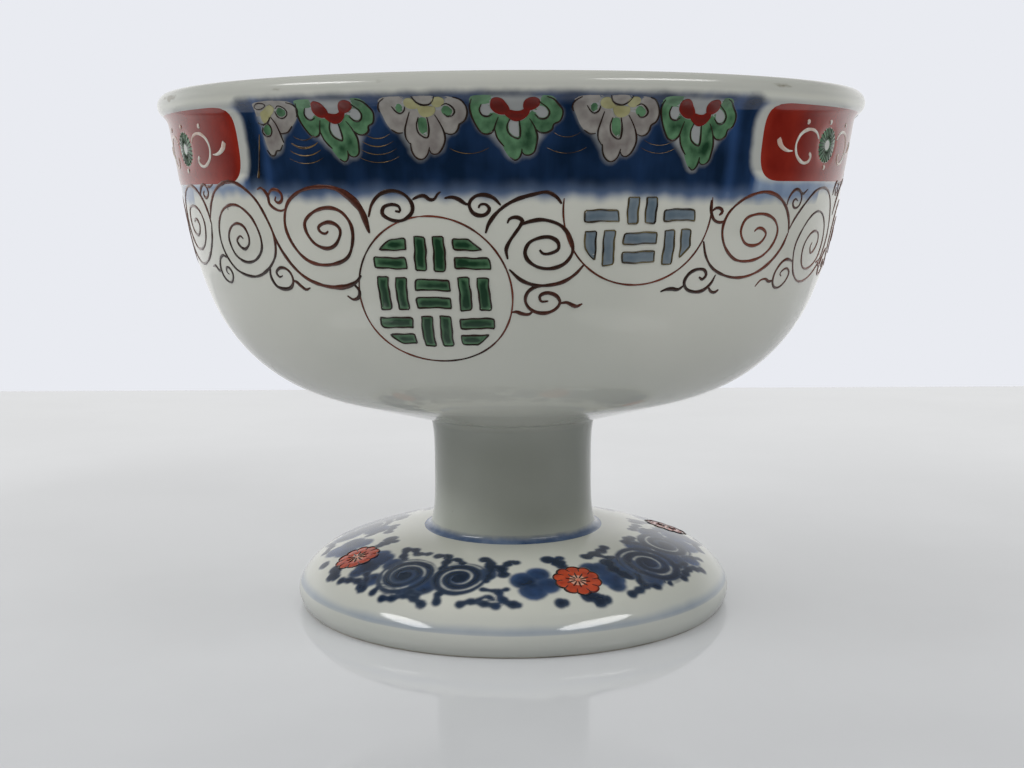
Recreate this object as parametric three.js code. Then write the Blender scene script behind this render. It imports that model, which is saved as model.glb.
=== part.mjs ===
// Footed porcelain bowl for rinsing sake cups: a deep bowl with a rounded lip, on a hollow stem
// and a wide domed foot. Potters throw the three clay pieces apart and join them with slip, so
// each clay piece and each ring of slip is a solid of its own.
//
// Millimetres, +Z up. The origin is the centre of the foot's resting face.

import * as THREE from 'three';

// Whole object.
const rimDiameter = 160;
const overallHeight = 118;
const roundSegments = 60;

// Bowl. Slopes are in degrees from level, along the outside of the wall.
const bowlSeatRadius = 20.2;
const floorSlope = 15;
const shoulderSlope = 68;
const wallSlope = 81.2;
const bellyRadius = 38.7;
const upperBellyRadius = 83.3;
const floorThickness = 6;
const wallThickness = 3.5;

// Lip, a rounded bead that stands proud of the wall outside.
const lipRadius = 2.6;
const lipHeight = 7.5;
const lipOverhang = 2.55;
const lipUndersideSlope = 35;

// Stem, a tube that is narrowest near its middle and flares a little at both ends.
const stemLength = 23.8;
const stemWaistDiameter = 37.6;
const stemWaistHeight = 12.9;
const stemTopFlare = 0.55;
const stemBaseFlare = 0.8;
const stemBoreDiameter = 30.4;

// Rings of slip at the stem's two ends.
const bowlSlipThickness = 1.3;
const footSlipThickness = 1.6;
const footSlipRadius = 21.4;

// Foot, a dome with a turned-under edge that stands on a bare ring of clay.
const footDiameter = 103.2;
const footHeight = 17;
const footWall = 4.6;
const domeSlopeAtSeat = 5;
const domeSlopeAtEdge = 22;
const edgeRadius = 14;
const edgeSlope = 62;
const noseRadius = 4;
const noseHeight = 3.3;
const noseTuck = 25;
const restingRingInset = 1.4;
const restingRingWidth = 3.6;
const restingRingBevel = 0.4;
const restingRingDepth = 3.2;
const restingRingDraft = 0.3;

// Heights at which the pieces meet.
const footSlipTop = footHeight + footSlipThickness;
const stemTop = footSlipTop + stemLength;
const bowlSeatHeight = stemTop + bowlSlipThickness;
const bowlHeight = overallHeight - bowlSeatHeight;

const stemBoreRadius = stemBoreDiameter / 2;
const stemWaistRadius = stemWaistDiameter / 2;
const stemBaseRadius = stemWaistRadius + stemBaseFlare;
const stemTopRadius = stemWaistRadius + stemTopFlare;

// A slope turns anticlockwise from level outwards, and a solid lies to the left of its outline,
// so the outside of a wall that climbs at a slope faces along outwardAt(slope).
const radians = THREE.MathUtils.degToRad;
const point = (radius, height) => new THREE.Vector2(radius, height);
const alongAt = (slope) => point(Math.cos(radians(slope)), Math.sin(radians(slope)));
const outwardAt = (slope) => point(Math.sin(radians(slope)), -Math.cos(radians(slope)));
const step = (start, direction, distance) => start.clone().addScaledVector(direction, distance);

// An arc from one slope to another, as points that each carry the slope there.
function bend(start, radius, fromSlope, toSlope, steps) {
  const centre = step(start, outwardAt(fromSlope), -radius);
  const points = [];
  for (let i = 0; i <= steps; i += 1) {
    const slope = THREE.MathUtils.lerp(fromSlope, toSlope, i / steps);
    points.push({ at: step(centre, outwardAt(slope), radius), slope });
  }
  return points;
}

// A smooth curve that leaves one point at its slope and reaches another at its slope.
function sweep(start, fromSlope, end, toSlope, reach, steps) {
  const handle = start.distanceTo(end) * reach;
  const curve = new THREE.CubicBezierCurve(
    start,
    step(start, alongAt(fromSlope), handle),
    step(end, alongAt(toSlope), -handle),
    end,
  );
  return curve.getPoints(steps);
}

// A solid turned about the Z axis. The outline runs anticlockwise, and it closes on itself
// unless both of its ends are on the axis.
function turned(outline) {
  const first = outline[0];
  const last = outline[outline.length - 1];
  const onAxis = first.x === 0 && last.x === 0;
  const closed = onAxis ? outline : [...outline, first.clone()];
  const geometry = new THREE.LatheGeometry(closed, roundSegments);
  geometry.rotateX(Math.PI / 2);
  return geometry;
}

function piece(name, outline, height, material) {
  const mesh = new THREE.Mesh(turned(outline), material);
  mesh.name = name;
  mesh.position.z = height;
  return mesh;
}

// The outside of the bowl from the edge of its seat to the foot of the lip. The level run of the
// floor and the climb of the wall take whatever the two belly arcs leave.
function bowlOutside() {
  const top = point(rimDiameter / 2 - lipOverhang, bowlHeight - lipHeight);
  const seatEdge = point(bowlSeatRadius, 0);
  const floor = alongAt(floorSlope);
  const wall = alongAt(wallSlope);
  const belly = bend(point(0, 0), bellyRadius, floorSlope, shoulderSlope, 10);
  const upperBelly = bend(belly.at(-1).at, upperBellyRadius, shoulderSlope, wallSlope, 4);
  const left = top.clone().sub(seatEdge).sub(upperBelly.at(-1).at);
  const spread = floor.cross(wall);
  const floorRun = left.cross(wall) / spread;
  const wallRun = floor.cross(left) / spread;
  const bellyStart = step(seatEdge, floor, floorRun);
  const points = [{ at: seatEdge, slope: floorSlope }];
  for (const place of [...belly, ...upperBelly.slice(1)]) {
    points.push({ at: place.at.clone().add(bellyStart), slope: place.slope });
  }
  points.push({ at: step(points.at(-1).at, wall, wallRun), slope: wallSlope });
  return points;
}

// The inside follows the outside, and the wall thins evenly from the floor to the lip.
function bowlInside(outside) {
  const lengths = [0];
  for (let i = 1; i < outside.length; i += 1) {
    lengths.push(lengths[i - 1] + outside[i].at.distanceTo(outside[i - 1].at));
  }
  return outside.map(({ at, slope }, i) => {
    const share = lengths[i] / lengths.at(-1);
    const thickness = THREE.MathUtils.lerp(floorThickness, wallThickness, share);
    return step(at, outwardAt(slope), -thickness);
  });
}

function bowlOutline() {
  const outside = bowlOutside();
  const inside = bowlInside(outside);

  const lipCentre = point(rimDiameter / 2 - lipRadius, bowlHeight - lipRadius);
  const lipStart = step(lipCentre, outwardAt(lipUndersideSlope), lipRadius);
  const underLip = sweep(outside.at(-1).at, wallSlope, lipStart, lipUndersideSlope, 0.4, 4);
  const bead = bend(lipStart, lipRadius, lipUndersideSlope, 180, 8).map(({ at }) => at);

  // Inside the crown the lip rounds down to where the inner wall reaches the same height.
  const wallTop = inside.at(-1);
  const climb = lipCentre.y - wallTop.y;
  const innerEdge = point(wallTop.x + climb / Math.tan(radians(wallSlope)), lipCentre.y);
  const innerReach = lipCentre.x - innerEdge.x;
  const crown = new THREE.EllipseCurve(
    lipCentre.x, lipCentre.y, innerReach, lipRadius, Math.PI / 2, Math.PI,
  );

  // The well of the bowl is the shallow cap that meets the sloping floor without a crease.
  const floorEdge = inside[0];
  const wellRadius = floorEdge.x / Math.sin(radians(floorSlope));
  const well = bend(floorEdge, -wellRadius, 180 + floorSlope, 180, 5).map(({ at }) => at);
  well.at(-1).x = 0;

  return [
    point(0, 0),
    ...outside.map(({ at }) => at),
    ...underLip.slice(1),
    ...bead.slice(1),
    ...crown.getPoints(4).slice(1),
    ...inside.reverse(),
    ...well.slice(1),
  ];
}

function stemOutline() {
  const steps = 12;
  const outline = [point(stemBoreRadius, 0)];
  for (let i = 0; i <= steps; i += 1) {
    const height = (stemLength * i) / steps;
    const above = height > stemWaistHeight;
    const span = above ? stemLength - stemWaistHeight : stemWaistHeight;
    const flare = above ? stemTopFlare : stemBaseFlare;
    const share = Math.abs(height - stemWaistHeight) / span;
    outline.push(point(stemWaistRadius + flare * share ** 4, height));
  }
  outline.push(point(stemBoreRadius, stemLength));
  return outline;
}

// A ring of slip with a hollow outer face, from its radius below to its radius above.
function slipOutline(lowerRadius, upperRadius, thickness) {
  const wide = Math.max(lowerRadius, upperRadius);
  const across = Math.abs(upperRadius - lowerRadius);
  const centreHeight = lowerRadius > upperRadius ? thickness : 0;
  const fromAngle = lowerRadius > upperRadius ? -90 : 180;
  const hollow = new THREE.EllipseCurve(
    wide, centreHeight, across, thickness, radians(fromAngle), radians(fromAngle - 90), true,
  );
  return [
    point(stemBoreRadius, 0),
    ...hollow.getPoints(5),
    point(stemBoreRadius, thickness),
  ];
}

function footOutline() {
  const noseCentre = point(footDiameter / 2 - noseRadius, noseHeight);
  const noseBottom = step(noseCentre, outwardAt(90 - noseTuck), noseRadius);
  const nose = bend(noseBottom, noseRadius, 90 - noseTuck, 180 - edgeSlope, 5);
  const edge = bend(nose.at(-1).at, edgeRadius, 180 - edgeSlope, 180 - domeSlopeAtEdge, 5);
  const seatEdge = point(footSlipRadius, footHeight);
  const domeSteps = 5;
  const domeReach = 1 / 3;
  const domeEdgeSlope = 180 - domeSlopeAtEdge;
  const seatSlope = 180 - domeSlopeAtSeat;
  const dome = sweep(edge.at(-1).at, domeEdgeSlope, seatEdge, seatSlope, domeReach, domeSteps);

  // The hollow below runs at one wall's thickness under the dome.
  const innerSeatEdge = step(seatEdge, outwardAt(seatSlope), -footWall);
  const innerDomeEdge = step(edge.at(-1).at, outwardAt(domeEdgeSlope), -footWall);
  const innerDome = sweep(
    innerSeatEdge, seatSlope - 180, innerDomeEdge, domeEdgeSlope - 180, domeReach, domeSteps,
  );
  const ringOuter = footDiameter / 2 - restingRingInset;
  const ringInner = ringOuter - restingRingWidth;
  const ringTop = point(ringInner - restingRingDraft, restingRingDepth);
  const haunch = sweep(innerDomeEdge, domeEdgeSlope - 180, ringTop, -90, 0.4, 4);

  return [
    point(ringInner, 0),
    point(ringOuter, 0),
    point(ringOuter + restingRingBevel, restingRingBevel),
    ...nose.map(({ at }) => at),
    ...edge.slice(1).map(({ at }) => at),
    ...dome.slice(1),
    point(stemBoreRadius, footHeight),
    point(stemBoreRadius, innerSeatEdge.y),
    ...innerDome,
    ...haunch.slice(1),
  ];
}

// A transparent glaze over white porcelain, with a faint grey-green cast.
const glaze = new THREE.MeshStandardMaterial({ color: 0xd9dcd4, roughness: 0.12, metalness: 0 });
const stemGlaze = glaze.clone();
stemGlaze.color.set(0xd2d4cb);

// The lower slip ring carries a painted line of cobalt under its glaze.
const cobaltGlaze = glaze.clone();
cobaltGlaze.color.set(0x8a9bb0);

const bowl = new THREE.Group();
bowl.position.z = bowlSeatHeight;
bowl.add(piece('bowl', bowlOutline(), 0, glaze));
bowl.add(piece(
  'bowl_slip_ring',
  slipOutline(stemTopRadius, bowlSeatRadius, bowlSlipThickness),
  -bowlSlipThickness,
  stemGlaze,
));

const pedestal = new THREE.Group();
pedestal.add(piece('stem', stemOutline(), footSlipTop, stemGlaze));
pedestal.add(piece(
  'foot_slip_ring',
  slipOutline(footSlipRadius, stemBaseRadius, footSlipThickness),
  footHeight,
  cobaltGlaze,
));
pedestal.add(piece('foot', footOutline(), 0, glaze));

const sakeCupWashingBowl = new THREE.Group();
sakeCupWashingBowl.add(bowl, pedestal);

export default sakeCupWashingBowl;
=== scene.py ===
import math

import bpy
import numpy as np
from mathutils import Color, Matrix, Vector
from mathutils.geometry import convex_hull_2d, delaunay_2d_cdt


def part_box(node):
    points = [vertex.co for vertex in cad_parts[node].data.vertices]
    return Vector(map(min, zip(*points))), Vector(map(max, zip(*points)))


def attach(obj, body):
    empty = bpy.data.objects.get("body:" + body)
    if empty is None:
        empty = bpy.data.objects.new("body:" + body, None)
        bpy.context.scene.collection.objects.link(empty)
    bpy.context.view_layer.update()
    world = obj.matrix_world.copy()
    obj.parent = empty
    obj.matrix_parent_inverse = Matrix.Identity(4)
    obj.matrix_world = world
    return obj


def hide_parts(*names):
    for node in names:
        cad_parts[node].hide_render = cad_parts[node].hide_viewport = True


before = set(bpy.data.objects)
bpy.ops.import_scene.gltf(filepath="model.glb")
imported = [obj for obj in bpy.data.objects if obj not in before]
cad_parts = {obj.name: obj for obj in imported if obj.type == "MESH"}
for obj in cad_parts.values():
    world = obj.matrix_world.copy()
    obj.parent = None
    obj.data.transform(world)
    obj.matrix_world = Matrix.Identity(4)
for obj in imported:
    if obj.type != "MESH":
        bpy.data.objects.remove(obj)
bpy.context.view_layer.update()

bl_info = {
    "name": "Sake Cup Washing Bowl",
    "version": (1, 0, 0),
    "blender": (4, 5, 0),
    "location": "View3D > Sidebar > Washing Bowl",
    "description": "Footed porcelain bowl for rinsing sake cups, painted in blue and enamels",
    "category": "Add Mesh",
}

# The clay is written in millimetres, as on a potter's drawing, and Blender's unit is the metre.
MM = 0.001
BOWL_LOW, BOWL_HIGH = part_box("bowl")
STEM_LOW, STEM_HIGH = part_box("stem")
FOOT_LOW, FOOT_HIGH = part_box("foot")

# The painting is set out in degrees round the bowl from the front, and in millimetres of
# height above the table. At the reference radius one degree is 1.344 mm.
BOWL_REFERENCE_RADIUS = 77.0
FOOT_REFERENCE_RADIUS = 40.0
PANELS = 3
PANEL_PITCH = 360 / PANELS
CARTOUCHE_CENTRE = 57.5
CARTOUCHE_HALF_LENGTH = 25.1
CARTOUCHE_HEIGHTS = (98.3, 113.2)
LAPPET_TOP = 113.4


def linear(red, green, blue):
    """A screen colour from 0 to 255, as the linear colour that the shaders take."""
    shares = [channel / 255 for channel in (red, green, blue)]
    return tuple(s / 12.92 if s <= 0.04045 else ((s + 0.055) / 1.055) ** 2.4 for s in shares)


def length(name, description, millimetres):
    return bpy.props.FloatProperty(
        name=name, description=description, default=millimetres * MM,
        min=0, precision=5, subtype="DISTANCE", unit="LENGTH",
    )


def slope(name, description, degrees):
    return bpy.props.FloatProperty(
        name=name, description=description, default=math.radians(degrees),
        subtype="ANGLE", unit="ROTATION",
    )


def count(name, description, default):
    return bpy.props.IntProperty(name=name, description=description, default=default, min=1)


def paint(name, description, red, green, blue):
    return bpy.props.FloatVectorProperty(
        name=name, description=description, default=linear(red, green, blue),
        size=3, min=0, max=1, subtype="COLOR",
    )


class WashingBowlClay(bpy.types.PropertyGroup):
    """Sizes of the thrown clay, the same as in the part's source."""

    rim_diameter: length("Rim", "Across the lip", (BOWL_HIGH.x - BOWL_LOW.x) / MM)
    bowl_seat_radius: length("Bowl seat", "Radius of the flat that sits on the slip", 20.2)
    floor_slope: slope("Floor slope", "Slope of the bowl's floor outside", 15)
    shoulder_slope: slope("Shoulder slope", "Slope where the two belly curves meet", 68)
    wall_slope: slope("Wall slope", "Slope of the wall under the lip", 81.2)
    belly_radius: length("Belly", "Radius of the lower belly curve", 38.7)
    upper_belly_radius: length("Upper belly", "Radius of the upper belly curve", 83.3)
    floor_thickness: length("Floor thickness", "Clay at the bowl's seat", 6)
    wall_thickness: length("Wall thickness", "Clay under the lip", 3.5)
    lip_radius: length("Lip radius", "Radius of the rounded lip", 2.6)
    lip_height: length("Lip height", "From the foot of the lip to the top", 7.5)
    lip_overhang: length("Lip overhang", "How far the lip stands proud of the wall", 2.55)
    lip_underside: slope("Lip underside", "Slope where the rounded lip begins", 35)
    stem_waist_diameter: length("Stem waist", "Across the narrowest part of the stem", 37.6)
    stem_waist_height: length("Stem waist height", "Waist above the stem's base", 12.9)
    stem_top_flare: length("Stem top flare", "Widening at the top", 0.55)
    stem_base_flare: length("Stem base flare", "Widening at the base", 0.8)
    stem_bore: length("Stem bore", "Across the hollow in the stem", 30.4)
    foot_slip_radius: length("Foot slip", "Radius of the slip ring on the foot", 21.4)
    foot_wall: length("Foot wall", "Clay over the hollow of the foot", 4.6)
    dome_slope_at_seat: slope("Dome slope, seat", "Slope of the foot at the stem", 5)
    dome_slope_at_edge: slope("Dome slope, edge", "Slope where the edge turns down", 22)
    edge_radius: length("Edge radius", "Radius of the turned-down edge", 14)
    edge_slope: slope("Edge slope", "Slope where the nose begins", 62)
    nose_radius: length("Nose radius", "Radius of the foot's outermost edge", 4)
    nose_height: length("Nose height", "Height of the foot's widest line", 3.3)
    nose_tuck: slope("Nose tuck", "How far the nose turns under", 25)
    ring_inset: length("Resting ring inset", "From the widest line to the ring", 1.4)
    ring_width: length("Resting ring width", "Width of the bare ring", 3.6)
    ring_bevel: length("Resting ring bevel", "Bevel on the ring's outer edge", 0.4)
    ring_depth: length("Resting ring depth", "Height of the ring's inner wall", 3.2)
    ring_draft: length("Resting ring draft", "Slant of the ring's inner wall", 0.3)
    columns: count("Columns", "Divisions round a turned piece", 720)


class WashingBowlBrush(bpy.types.PropertyGroup):
    """Widths and thicknesses of the painted lines and enamels."""

    scroll_line: length("Scroll line", "Width of the scroll lines", 0.78)
    leaf_line: length("Leaf line", "Width of the outlines of leaves and bars", 0.36)
    ring_line: length("Ring line", "Width of the medallion rings", 0.42)
    gold_line: length("Gold line", "Width of the gold lines", 0.36)
    reserve_line: length("Reserved line", "Width of the pale lines in the red", 0.8)
    enamel: length("Enamel", "Thickness of a patch of enamel", 0.11)
    lift: length("Line lift", "How far a line stands above the glaze", 0.05)
    high_lift: length("High line lift", "The same for a line drawn over enamel", 0.12)
    sink: length("Sink", "How far an enamel reaches into the glaze", 0.03)
    flatness: bpy.props.FloatProperty(
        name="Flatness", description="Height of a line as a share of half its width",
        default=0.26, min=0.05, max=1,
    )
    grain: length("Grain", "Spacing of the points across a patch", 0.7)


class WashingBowlPaints(bpy.types.PropertyGroup):
    """Colours of the glaze, the cobalt and the enamels."""

    porcelain: paint("Porcelain", "Clear glaze over white clay", 206, 207, 198)
    # Pooled glaze also stands for painted shade: the stem is laid thick with it so that it reads
    # darker under the bowl.
    pooled_and_shaded_glaze: paint("Pooled glaze", "Glaze where it lies thicker", 186, 191, 182)
    # The leaf ground is reserved glaze greyed by cobalt that spread into it, and darkened further
    # as painted shade under the lip.
    leaf_ground: paint("Leaf ground", "Glaze left pale under the leaves", 151, 154, 154)
    bare_clay: paint("Bare clay", "Unglazed resting ring", 192, 186, 172)
    pale_cobalt: paint("Pale cobalt", "Thinnest wash of blue", 142, 160, 184)
    cobalt: paint("Cobalt", "Middle wash of blue", 42, 70, 113)
    deep_cobalt: paint("Deep cobalt", "Thickest blue", 12, 31, 54)
    iron_red: paint("Iron red", "Red of the cartouches and crowns", 116, 26, 16)
    crown_red: paint("Crown red", "Red of the crowns where it is thick", 96, 28, 22)
    thin_red: paint("Thin red", "Red where it is thin", 142, 42, 29)
    flower_red: paint("Flower red", "Red of the foot's flowers", 190, 74, 40)
    flower_eye: paint("Flower eye", "Middle of the foot's flowers", 214, 172, 148)
    green: paint("Green", "Green enamel where it is thin", 92, 132, 98)
    deep_green: paint("Deep green", "Green enamel where it is thick", 27, 58, 38)
    lilac: paint("Lilac", "Greyish lilac enamel", 148, 145, 140)
    deep_lilac: paint("Deep lilac", "Lilac where it is thick", 108, 101, 99)
    yellow: paint("Yellow", "Yellow enamel", 162, 160, 120)
    deep_yellow: paint("Deep yellow", "Yellow where it is thick", 134, 130, 90)
    grey_blue: paint("Grey blue", "Blue enamel of the second medallion", 126, 138, 146)
    deep_grey_blue: paint("Deep grey blue", "The same where it is thick", 92, 108, 120)
    dark_line: paint("Dark line", "Brown-black outline", 40, 34, 28)
    red_line: paint("Red-brown line", "Scroll line where it is thin", 116, 58, 42)
    scroll_dark: paint("Scroll dark", "Scroll line where it is thick", 46, 30, 24)
    olive_line: paint("Olive line", "Outline of the grey-blue bars", 98, 88, 58)
    gold: paint("Gold", "Worn gold", 128, 104, 66)
    reserve: paint("Reserve", "Pale lines in the red", 192, 166, 152)


class WashingBowlStage(bpy.types.PropertyGroup):
    """The table, the background, the lights and the camera."""

    camera_distance: length("Camera distance", "From the bowl's axis", 331.8)
    camera_height: length("Camera height", "Above the table", 96.66)
    camera_pitch: slope("Camera pitch", "How far the camera looks down", 7.85)
    focal_length: bpy.props.FloatProperty(
        name="Focal length", description="In millimetres, on a 36 mm sensor", default=49.22,
    )
    table_back: length("Table's back edge", "From the bowl's axis", 355)
    table_front: length("Table's front edge", "From the bowl's axis", 190)
    table_width: length("Table's width", "From side to side", 640)
    table: paint("Table", "Glossy white table", 211, 213, 216)
    background: paint("Background", "Pale wall behind the table", 233, 235, 241)


class WashingBowlSettings(bpy.types.PropertyGroup):
    """Everything that the bowl is made from."""

    clay: bpy.props.PointerProperty(type=WashingBowlClay)
    brush: bpy.props.PointerProperty(type=WashingBowlBrush)
    paints: bpy.props.PointerProperty(type=WashingBowlPaints)
    stage: bpy.props.PointerProperty(type=WashingBowlStage)


def settings():
    return bpy.context.scene.washing_bowl


# Outlines of the turned pieces, in millimetres. A slope is in radians, anticlockwise from level
# outwards, and the clay lies to the left of its outline.


def point(radius, height):
    return np.array([radius, height], float)


def along(angle):
    return point(math.cos(angle), math.sin(angle))


def outward(angle):
    return point(math.sin(angle), -math.cos(angle))


def bend(start, radius, from_slope, to_slope, steps=60):
    """An arc from one slope to another."""
    centre = start - outward(from_slope) * radius
    slopes = np.linspace(from_slope, to_slope, steps + 1)
    return np.array([centre + outward(s) * radius for s in slopes])


def sweep(start, from_slope, end, to_slope, reach, steps=80):
    """A smooth curve that leaves one point at its slope and reaches another at its slope."""
    handle = np.linalg.norm(end - start) * reach
    a, b = start + along(from_slope) * handle, end - along(to_slope) * handle
    t = np.linspace(0, 1, steps + 1)[:, None]
    return (1 - t) ** 3 * start + 3 * (1 - t) ** 2 * t * a + 3 * (1 - t) * t * t * b + t ** 3 * end


def stacked(*columns):
    """Lists of numbers, or single ones, side by side as the columns of a table."""
    return np.column_stack(columns)


def run_along(points):
    """The distance along a line to each of its points."""
    gaps = np.linalg.norm(np.diff(points, axis=0), axis=1)
    return np.concatenate([[0], np.cumsum(gaps)])


def respaced(points, gap):
    """The same line as points that lie a set gap apart."""
    points = np.asarray(points, float)
    run = run_along(points)
    places = np.linspace(0, run[-1], max(2, round(run[-1] / gap) + 1))
    return stacked(*(np.interp(places, run, column) for column in points.T))


def joined(*stretches):
    """Stretches of an outline in one, without the points that they share."""
    parts = [stretches[0]]
    for stretch in stretches[1:]:
        parts.append(stretch[1:])
    return np.vstack(parts)


def millimetres(group, name):
    return getattr(group, name) / MM


def bowl_outside(clay):
    """The bowl's outside as its stretches from the seat to the foot of the lip, with slopes."""
    size = lambda name: millimetres(clay, name)
    seat_height = BOWL_LOW.z / MM
    top_height = BOWL_HIGH.z / MM
    seat = point(size("bowl_seat_radius"), seat_height)
    top = point(size("rim_diameter") / 2 - size("lip_overhang"), top_height - size("lip_height"))
    floor, shoulder, wall = clay.floor_slope, clay.shoulder_slope, clay.wall_slope
    belly = bend(point(0, 0), size("belly_radius"), floor, shoulder)
    upper = bend(belly[-1], size("upper_belly_radius"), shoulder, wall)
    left = top - seat - upper[-1]
    spread = np.cross(along(floor), along(wall))
    floor_run = np.cross(left, along(wall)) / spread
    belly_start = seat + along(floor) * floor_run
    belly, upper = belly + belly_start, upper + belly_start
    return {
        "floor": (np.array([seat, belly_start]), np.full(2, floor)),
        "belly": (belly, np.linspace(floor, shoulder, len(belly))),
        "upper belly": (upper, np.linspace(shoulder, wall, len(upper))),
        "wall": (np.array([upper[-1], top]), np.full(2, wall)),
    }


def lip_outline(clay, wall_top):
    """The under-lip, the rounded bead and where the bead's centre is."""
    radius = millimetres(clay, "lip_radius")
    centre = point(millimetres(clay, "rim_diameter") / 2 - radius, BOWL_HIGH.z / MM - radius)
    start = centre + outward(clay.lip_underside) * radius
    under = sweep(wall_top, clay.wall_slope, start, clay.lip_underside, 0.4)
    bead = bend(start, radius, clay.lip_underside, math.pi)
    return under, bead, centre


def bowl_inside(clay, outside):
    """The inside follows the outside, and the wall thins evenly from the floor to the lip."""
    points = np.vstack([line for line, _ in outside.values()])
    slopes = np.concatenate([angles for _, angles in outside.values()])
    run = run_along(points)
    share = run / run[-1]
    floor, wall = millimetres(clay, "floor_thickness"), millimetres(clay, "wall_thickness")
    thickness = floor + (wall - floor) * share
    inward = -np.array([outward(s) for s in slopes])
    return points + inward * thickness[:, None]


def bowl_outline(clay):
    """The whole outline of the bowl from the axis below to the axis above."""
    outside = bowl_outside(clay)
    under, bead, lip_centre = lip_outline(clay, outside["wall"][0][-1])
    inside = bowl_inside(clay, outside)
    climb = lip_centre[1] - inside[-1][1]
    inner_edge = inside[-1][0] + climb / math.tan(clay.wall_slope)
    turn = np.linspace(0, math.pi / 2, 30)[:, None]
    reach = point(lip_centre[0] - inner_edge, millimetres(clay, "lip_radius"))
    crown = lip_centre + np.hstack([-np.sin(turn), np.cos(turn)]) * reach
    well_radius = inside[0][0] / math.sin(clay.floor_slope)
    well = bend(inside[0], -well_radius, math.pi + clay.floor_slope, math.pi)
    well[-1][0] = 0
    seat = outside["floor"][0][0]
    band_foot = 94.0
    wall = respaced(outside["wall"][0], 0.5)
    return joined(
        np.array([point(0, seat[1]), point(8, seat[1]), point(15, seat[1]), seat]),
        respaced(outside["floor"][0], 5),
        respaced(outside["belly"][0], 2.4),
        respaced(outside["upper belly"][0], 2.2),
        respaced(wall[wall[:, 1] < band_foot], 2.2),
        respaced(wall[wall[:, 1] >= band_foot - 0.5], 0.62),
        respaced(under, 0.6),
        respaced(bead, 0.45),
        respaced(crown, 0.6),
        respaced(inside[::-1], 3.6),
        respaced(well, 3.5),
    )


def stem_outline(clay):
    """The stem's wall, widening from its waist to both ends by the fourth power of the way."""
    bore = millimetres(clay, "stem_bore") / 2
    base, top = STEM_LOW.z / MM, STEM_HIGH.z / MM
    waist_radius = millimetres(clay, "stem_waist_diameter") / 2
    waist = base + millimetres(clay, "stem_waist_height")
    heights = np.linspace(base, top, 40)
    above = heights > waist
    span = np.where(above, top - waist, waist - base)
    flares = [millimetres(clay, "stem_top_flare"), millimetres(clay, "stem_base_flare")]
    flare = np.where(above, *flares)
    radii = waist_radius + flare * (np.abs(heights - waist) / span) ** 4
    outside = stacked(radii, heights)
    inside = respaced([point(bore, top), point(bore, base)], 4)
    return joined(np.array([point(bore, base), outside[0]]), outside, inside)


def slip_outline(clay, lower_radius, upper_radius, base, top):
    """A ring of slip with a hollow outer face."""
    bore = millimetres(clay, "stem_bore") / 2
    wide = max(lower_radius, upper_radius)
    turn = np.linspace(0, math.pi / 2, 14)
    inward, rise = abs(upper_radius - lower_radius) * np.sin(turn), (top - base) * np.cos(turn)
    face = stacked(wide - inward, top - rise)
    if lower_radius < upper_radius:
        face = stacked(wide - inward, base + rise)[::-1]
    ends = np.array([point(bore, base), face[0]])
    back = np.array([face[-1], point(bore, top), point(bore, base)])
    return joined(ends, face, back)


def foot_outside(clay):
    """The foot's outside from under the nose up to the seat of the stem."""
    size = lambda name: millimetres(clay, name)
    radius = FOOT_HIGH.x / MM
    nose_centre = point(radius - size("nose_radius"), size("nose_height"))
    tuck = math.pi / 2 - clay.nose_tuck
    edge_start = math.pi - clay.edge_slope
    dome_start = math.pi - clay.dome_slope_at_edge
    nose_bottom = nose_centre + outward(tuck) * size("nose_radius")
    nose = bend(nose_bottom, size("nose_radius"), tuck, edge_start)
    edge = bend(nose[-1], size("edge_radius"), edge_start, dome_start)
    seat = point(size("foot_slip_radius"), FOOT_HIGH.z / MM)
    dome = sweep(edge[-1], dome_start, seat, math.pi - clay.dome_slope_at_seat, 1 / 3, 400)
    return nose, edge, dome


def foot_outline(clay):
    """The whole outline of the foot, with the hollow under its dome."""
    size = lambda name: millimetres(clay, name)
    nose, edge, dome = foot_outside(clay)
    bore, wall = size("stem_bore") / 2, size("foot_wall")
    seat_slope = math.pi - clay.dome_slope_at_seat
    edge_slope = math.pi - clay.dome_slope_at_edge
    inner_seat = dome[-1] - outward(seat_slope) * wall
    inner_edge = edge[-1] - outward(edge_slope) * wall
    inner_dome = sweep(inner_seat, seat_slope - math.pi, inner_edge, edge_slope - math.pi, 1 / 3)
    ring_outer = FOOT_HIGH.x / MM - size("ring_inset")
    ring_inner = ring_outer - size("ring_width")
    ring_top = point(ring_inner - size("ring_draft"), size("ring_depth"))
    haunch = sweep(inner_edge, edge_slope - math.pi, ring_top, -math.pi / 2, 0.4)
    bevel = size("ring_bevel")
    seat_top = point(bore, FOOT_HIGH.z / MM)
    return joined(
        respaced([point(ring_inner, 0), point(ring_outer, 0)], 1.2),
        np.array([point(ring_outer, 0), point(ring_outer + bevel, bevel), nose[0]]),
        respaced(nose, 0.7),
        respaced(edge, 0.62),
        respaced(dome, 0.34),
        np.array([dome[-1], seat_top, point(bore, inner_seat[1]), inner_seat]),
        respaced(inner_dome, 3),
        respaced(haunch, 1.6),
        np.array([ring_top, point(ring_inner, 0)]),
    )


class Surface:
    """The painted side of a turned piece. Flat work is laid on it by the distance along it."""

    def __init__(self, name, outline, reference_radius):
        self.name = name
        self.outline = outline
        self.run = run_along(outline)
        self.reference_radius = reference_radius

    def run_at_height(self, height):
        return np.interp(height, self.outline[:, 1], self.run)

    def run_at_drop(self, drop):
        """The run at a distance down from the top end of the outline."""
        return self.run[-1] - np.asarray(drop, float)

    def radius_at(self, run):
        return np.interp(run, self.run, self.outline[:, 0])

    def across(self, degrees):
        """Degrees round the piece as millimetres across the flat work."""
        return np.radians(degrees) * self.reference_radius

    def guide(self):
        """The outline as a curve object in the XZ plane, which the trees read."""
        radii = np.full(len(self.outline), 1.0)
        points = [(radius, 0, height) for radius, height in self.outline]
        return curve_object(self.name + " guide", [(np.array(points), radii)])


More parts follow.
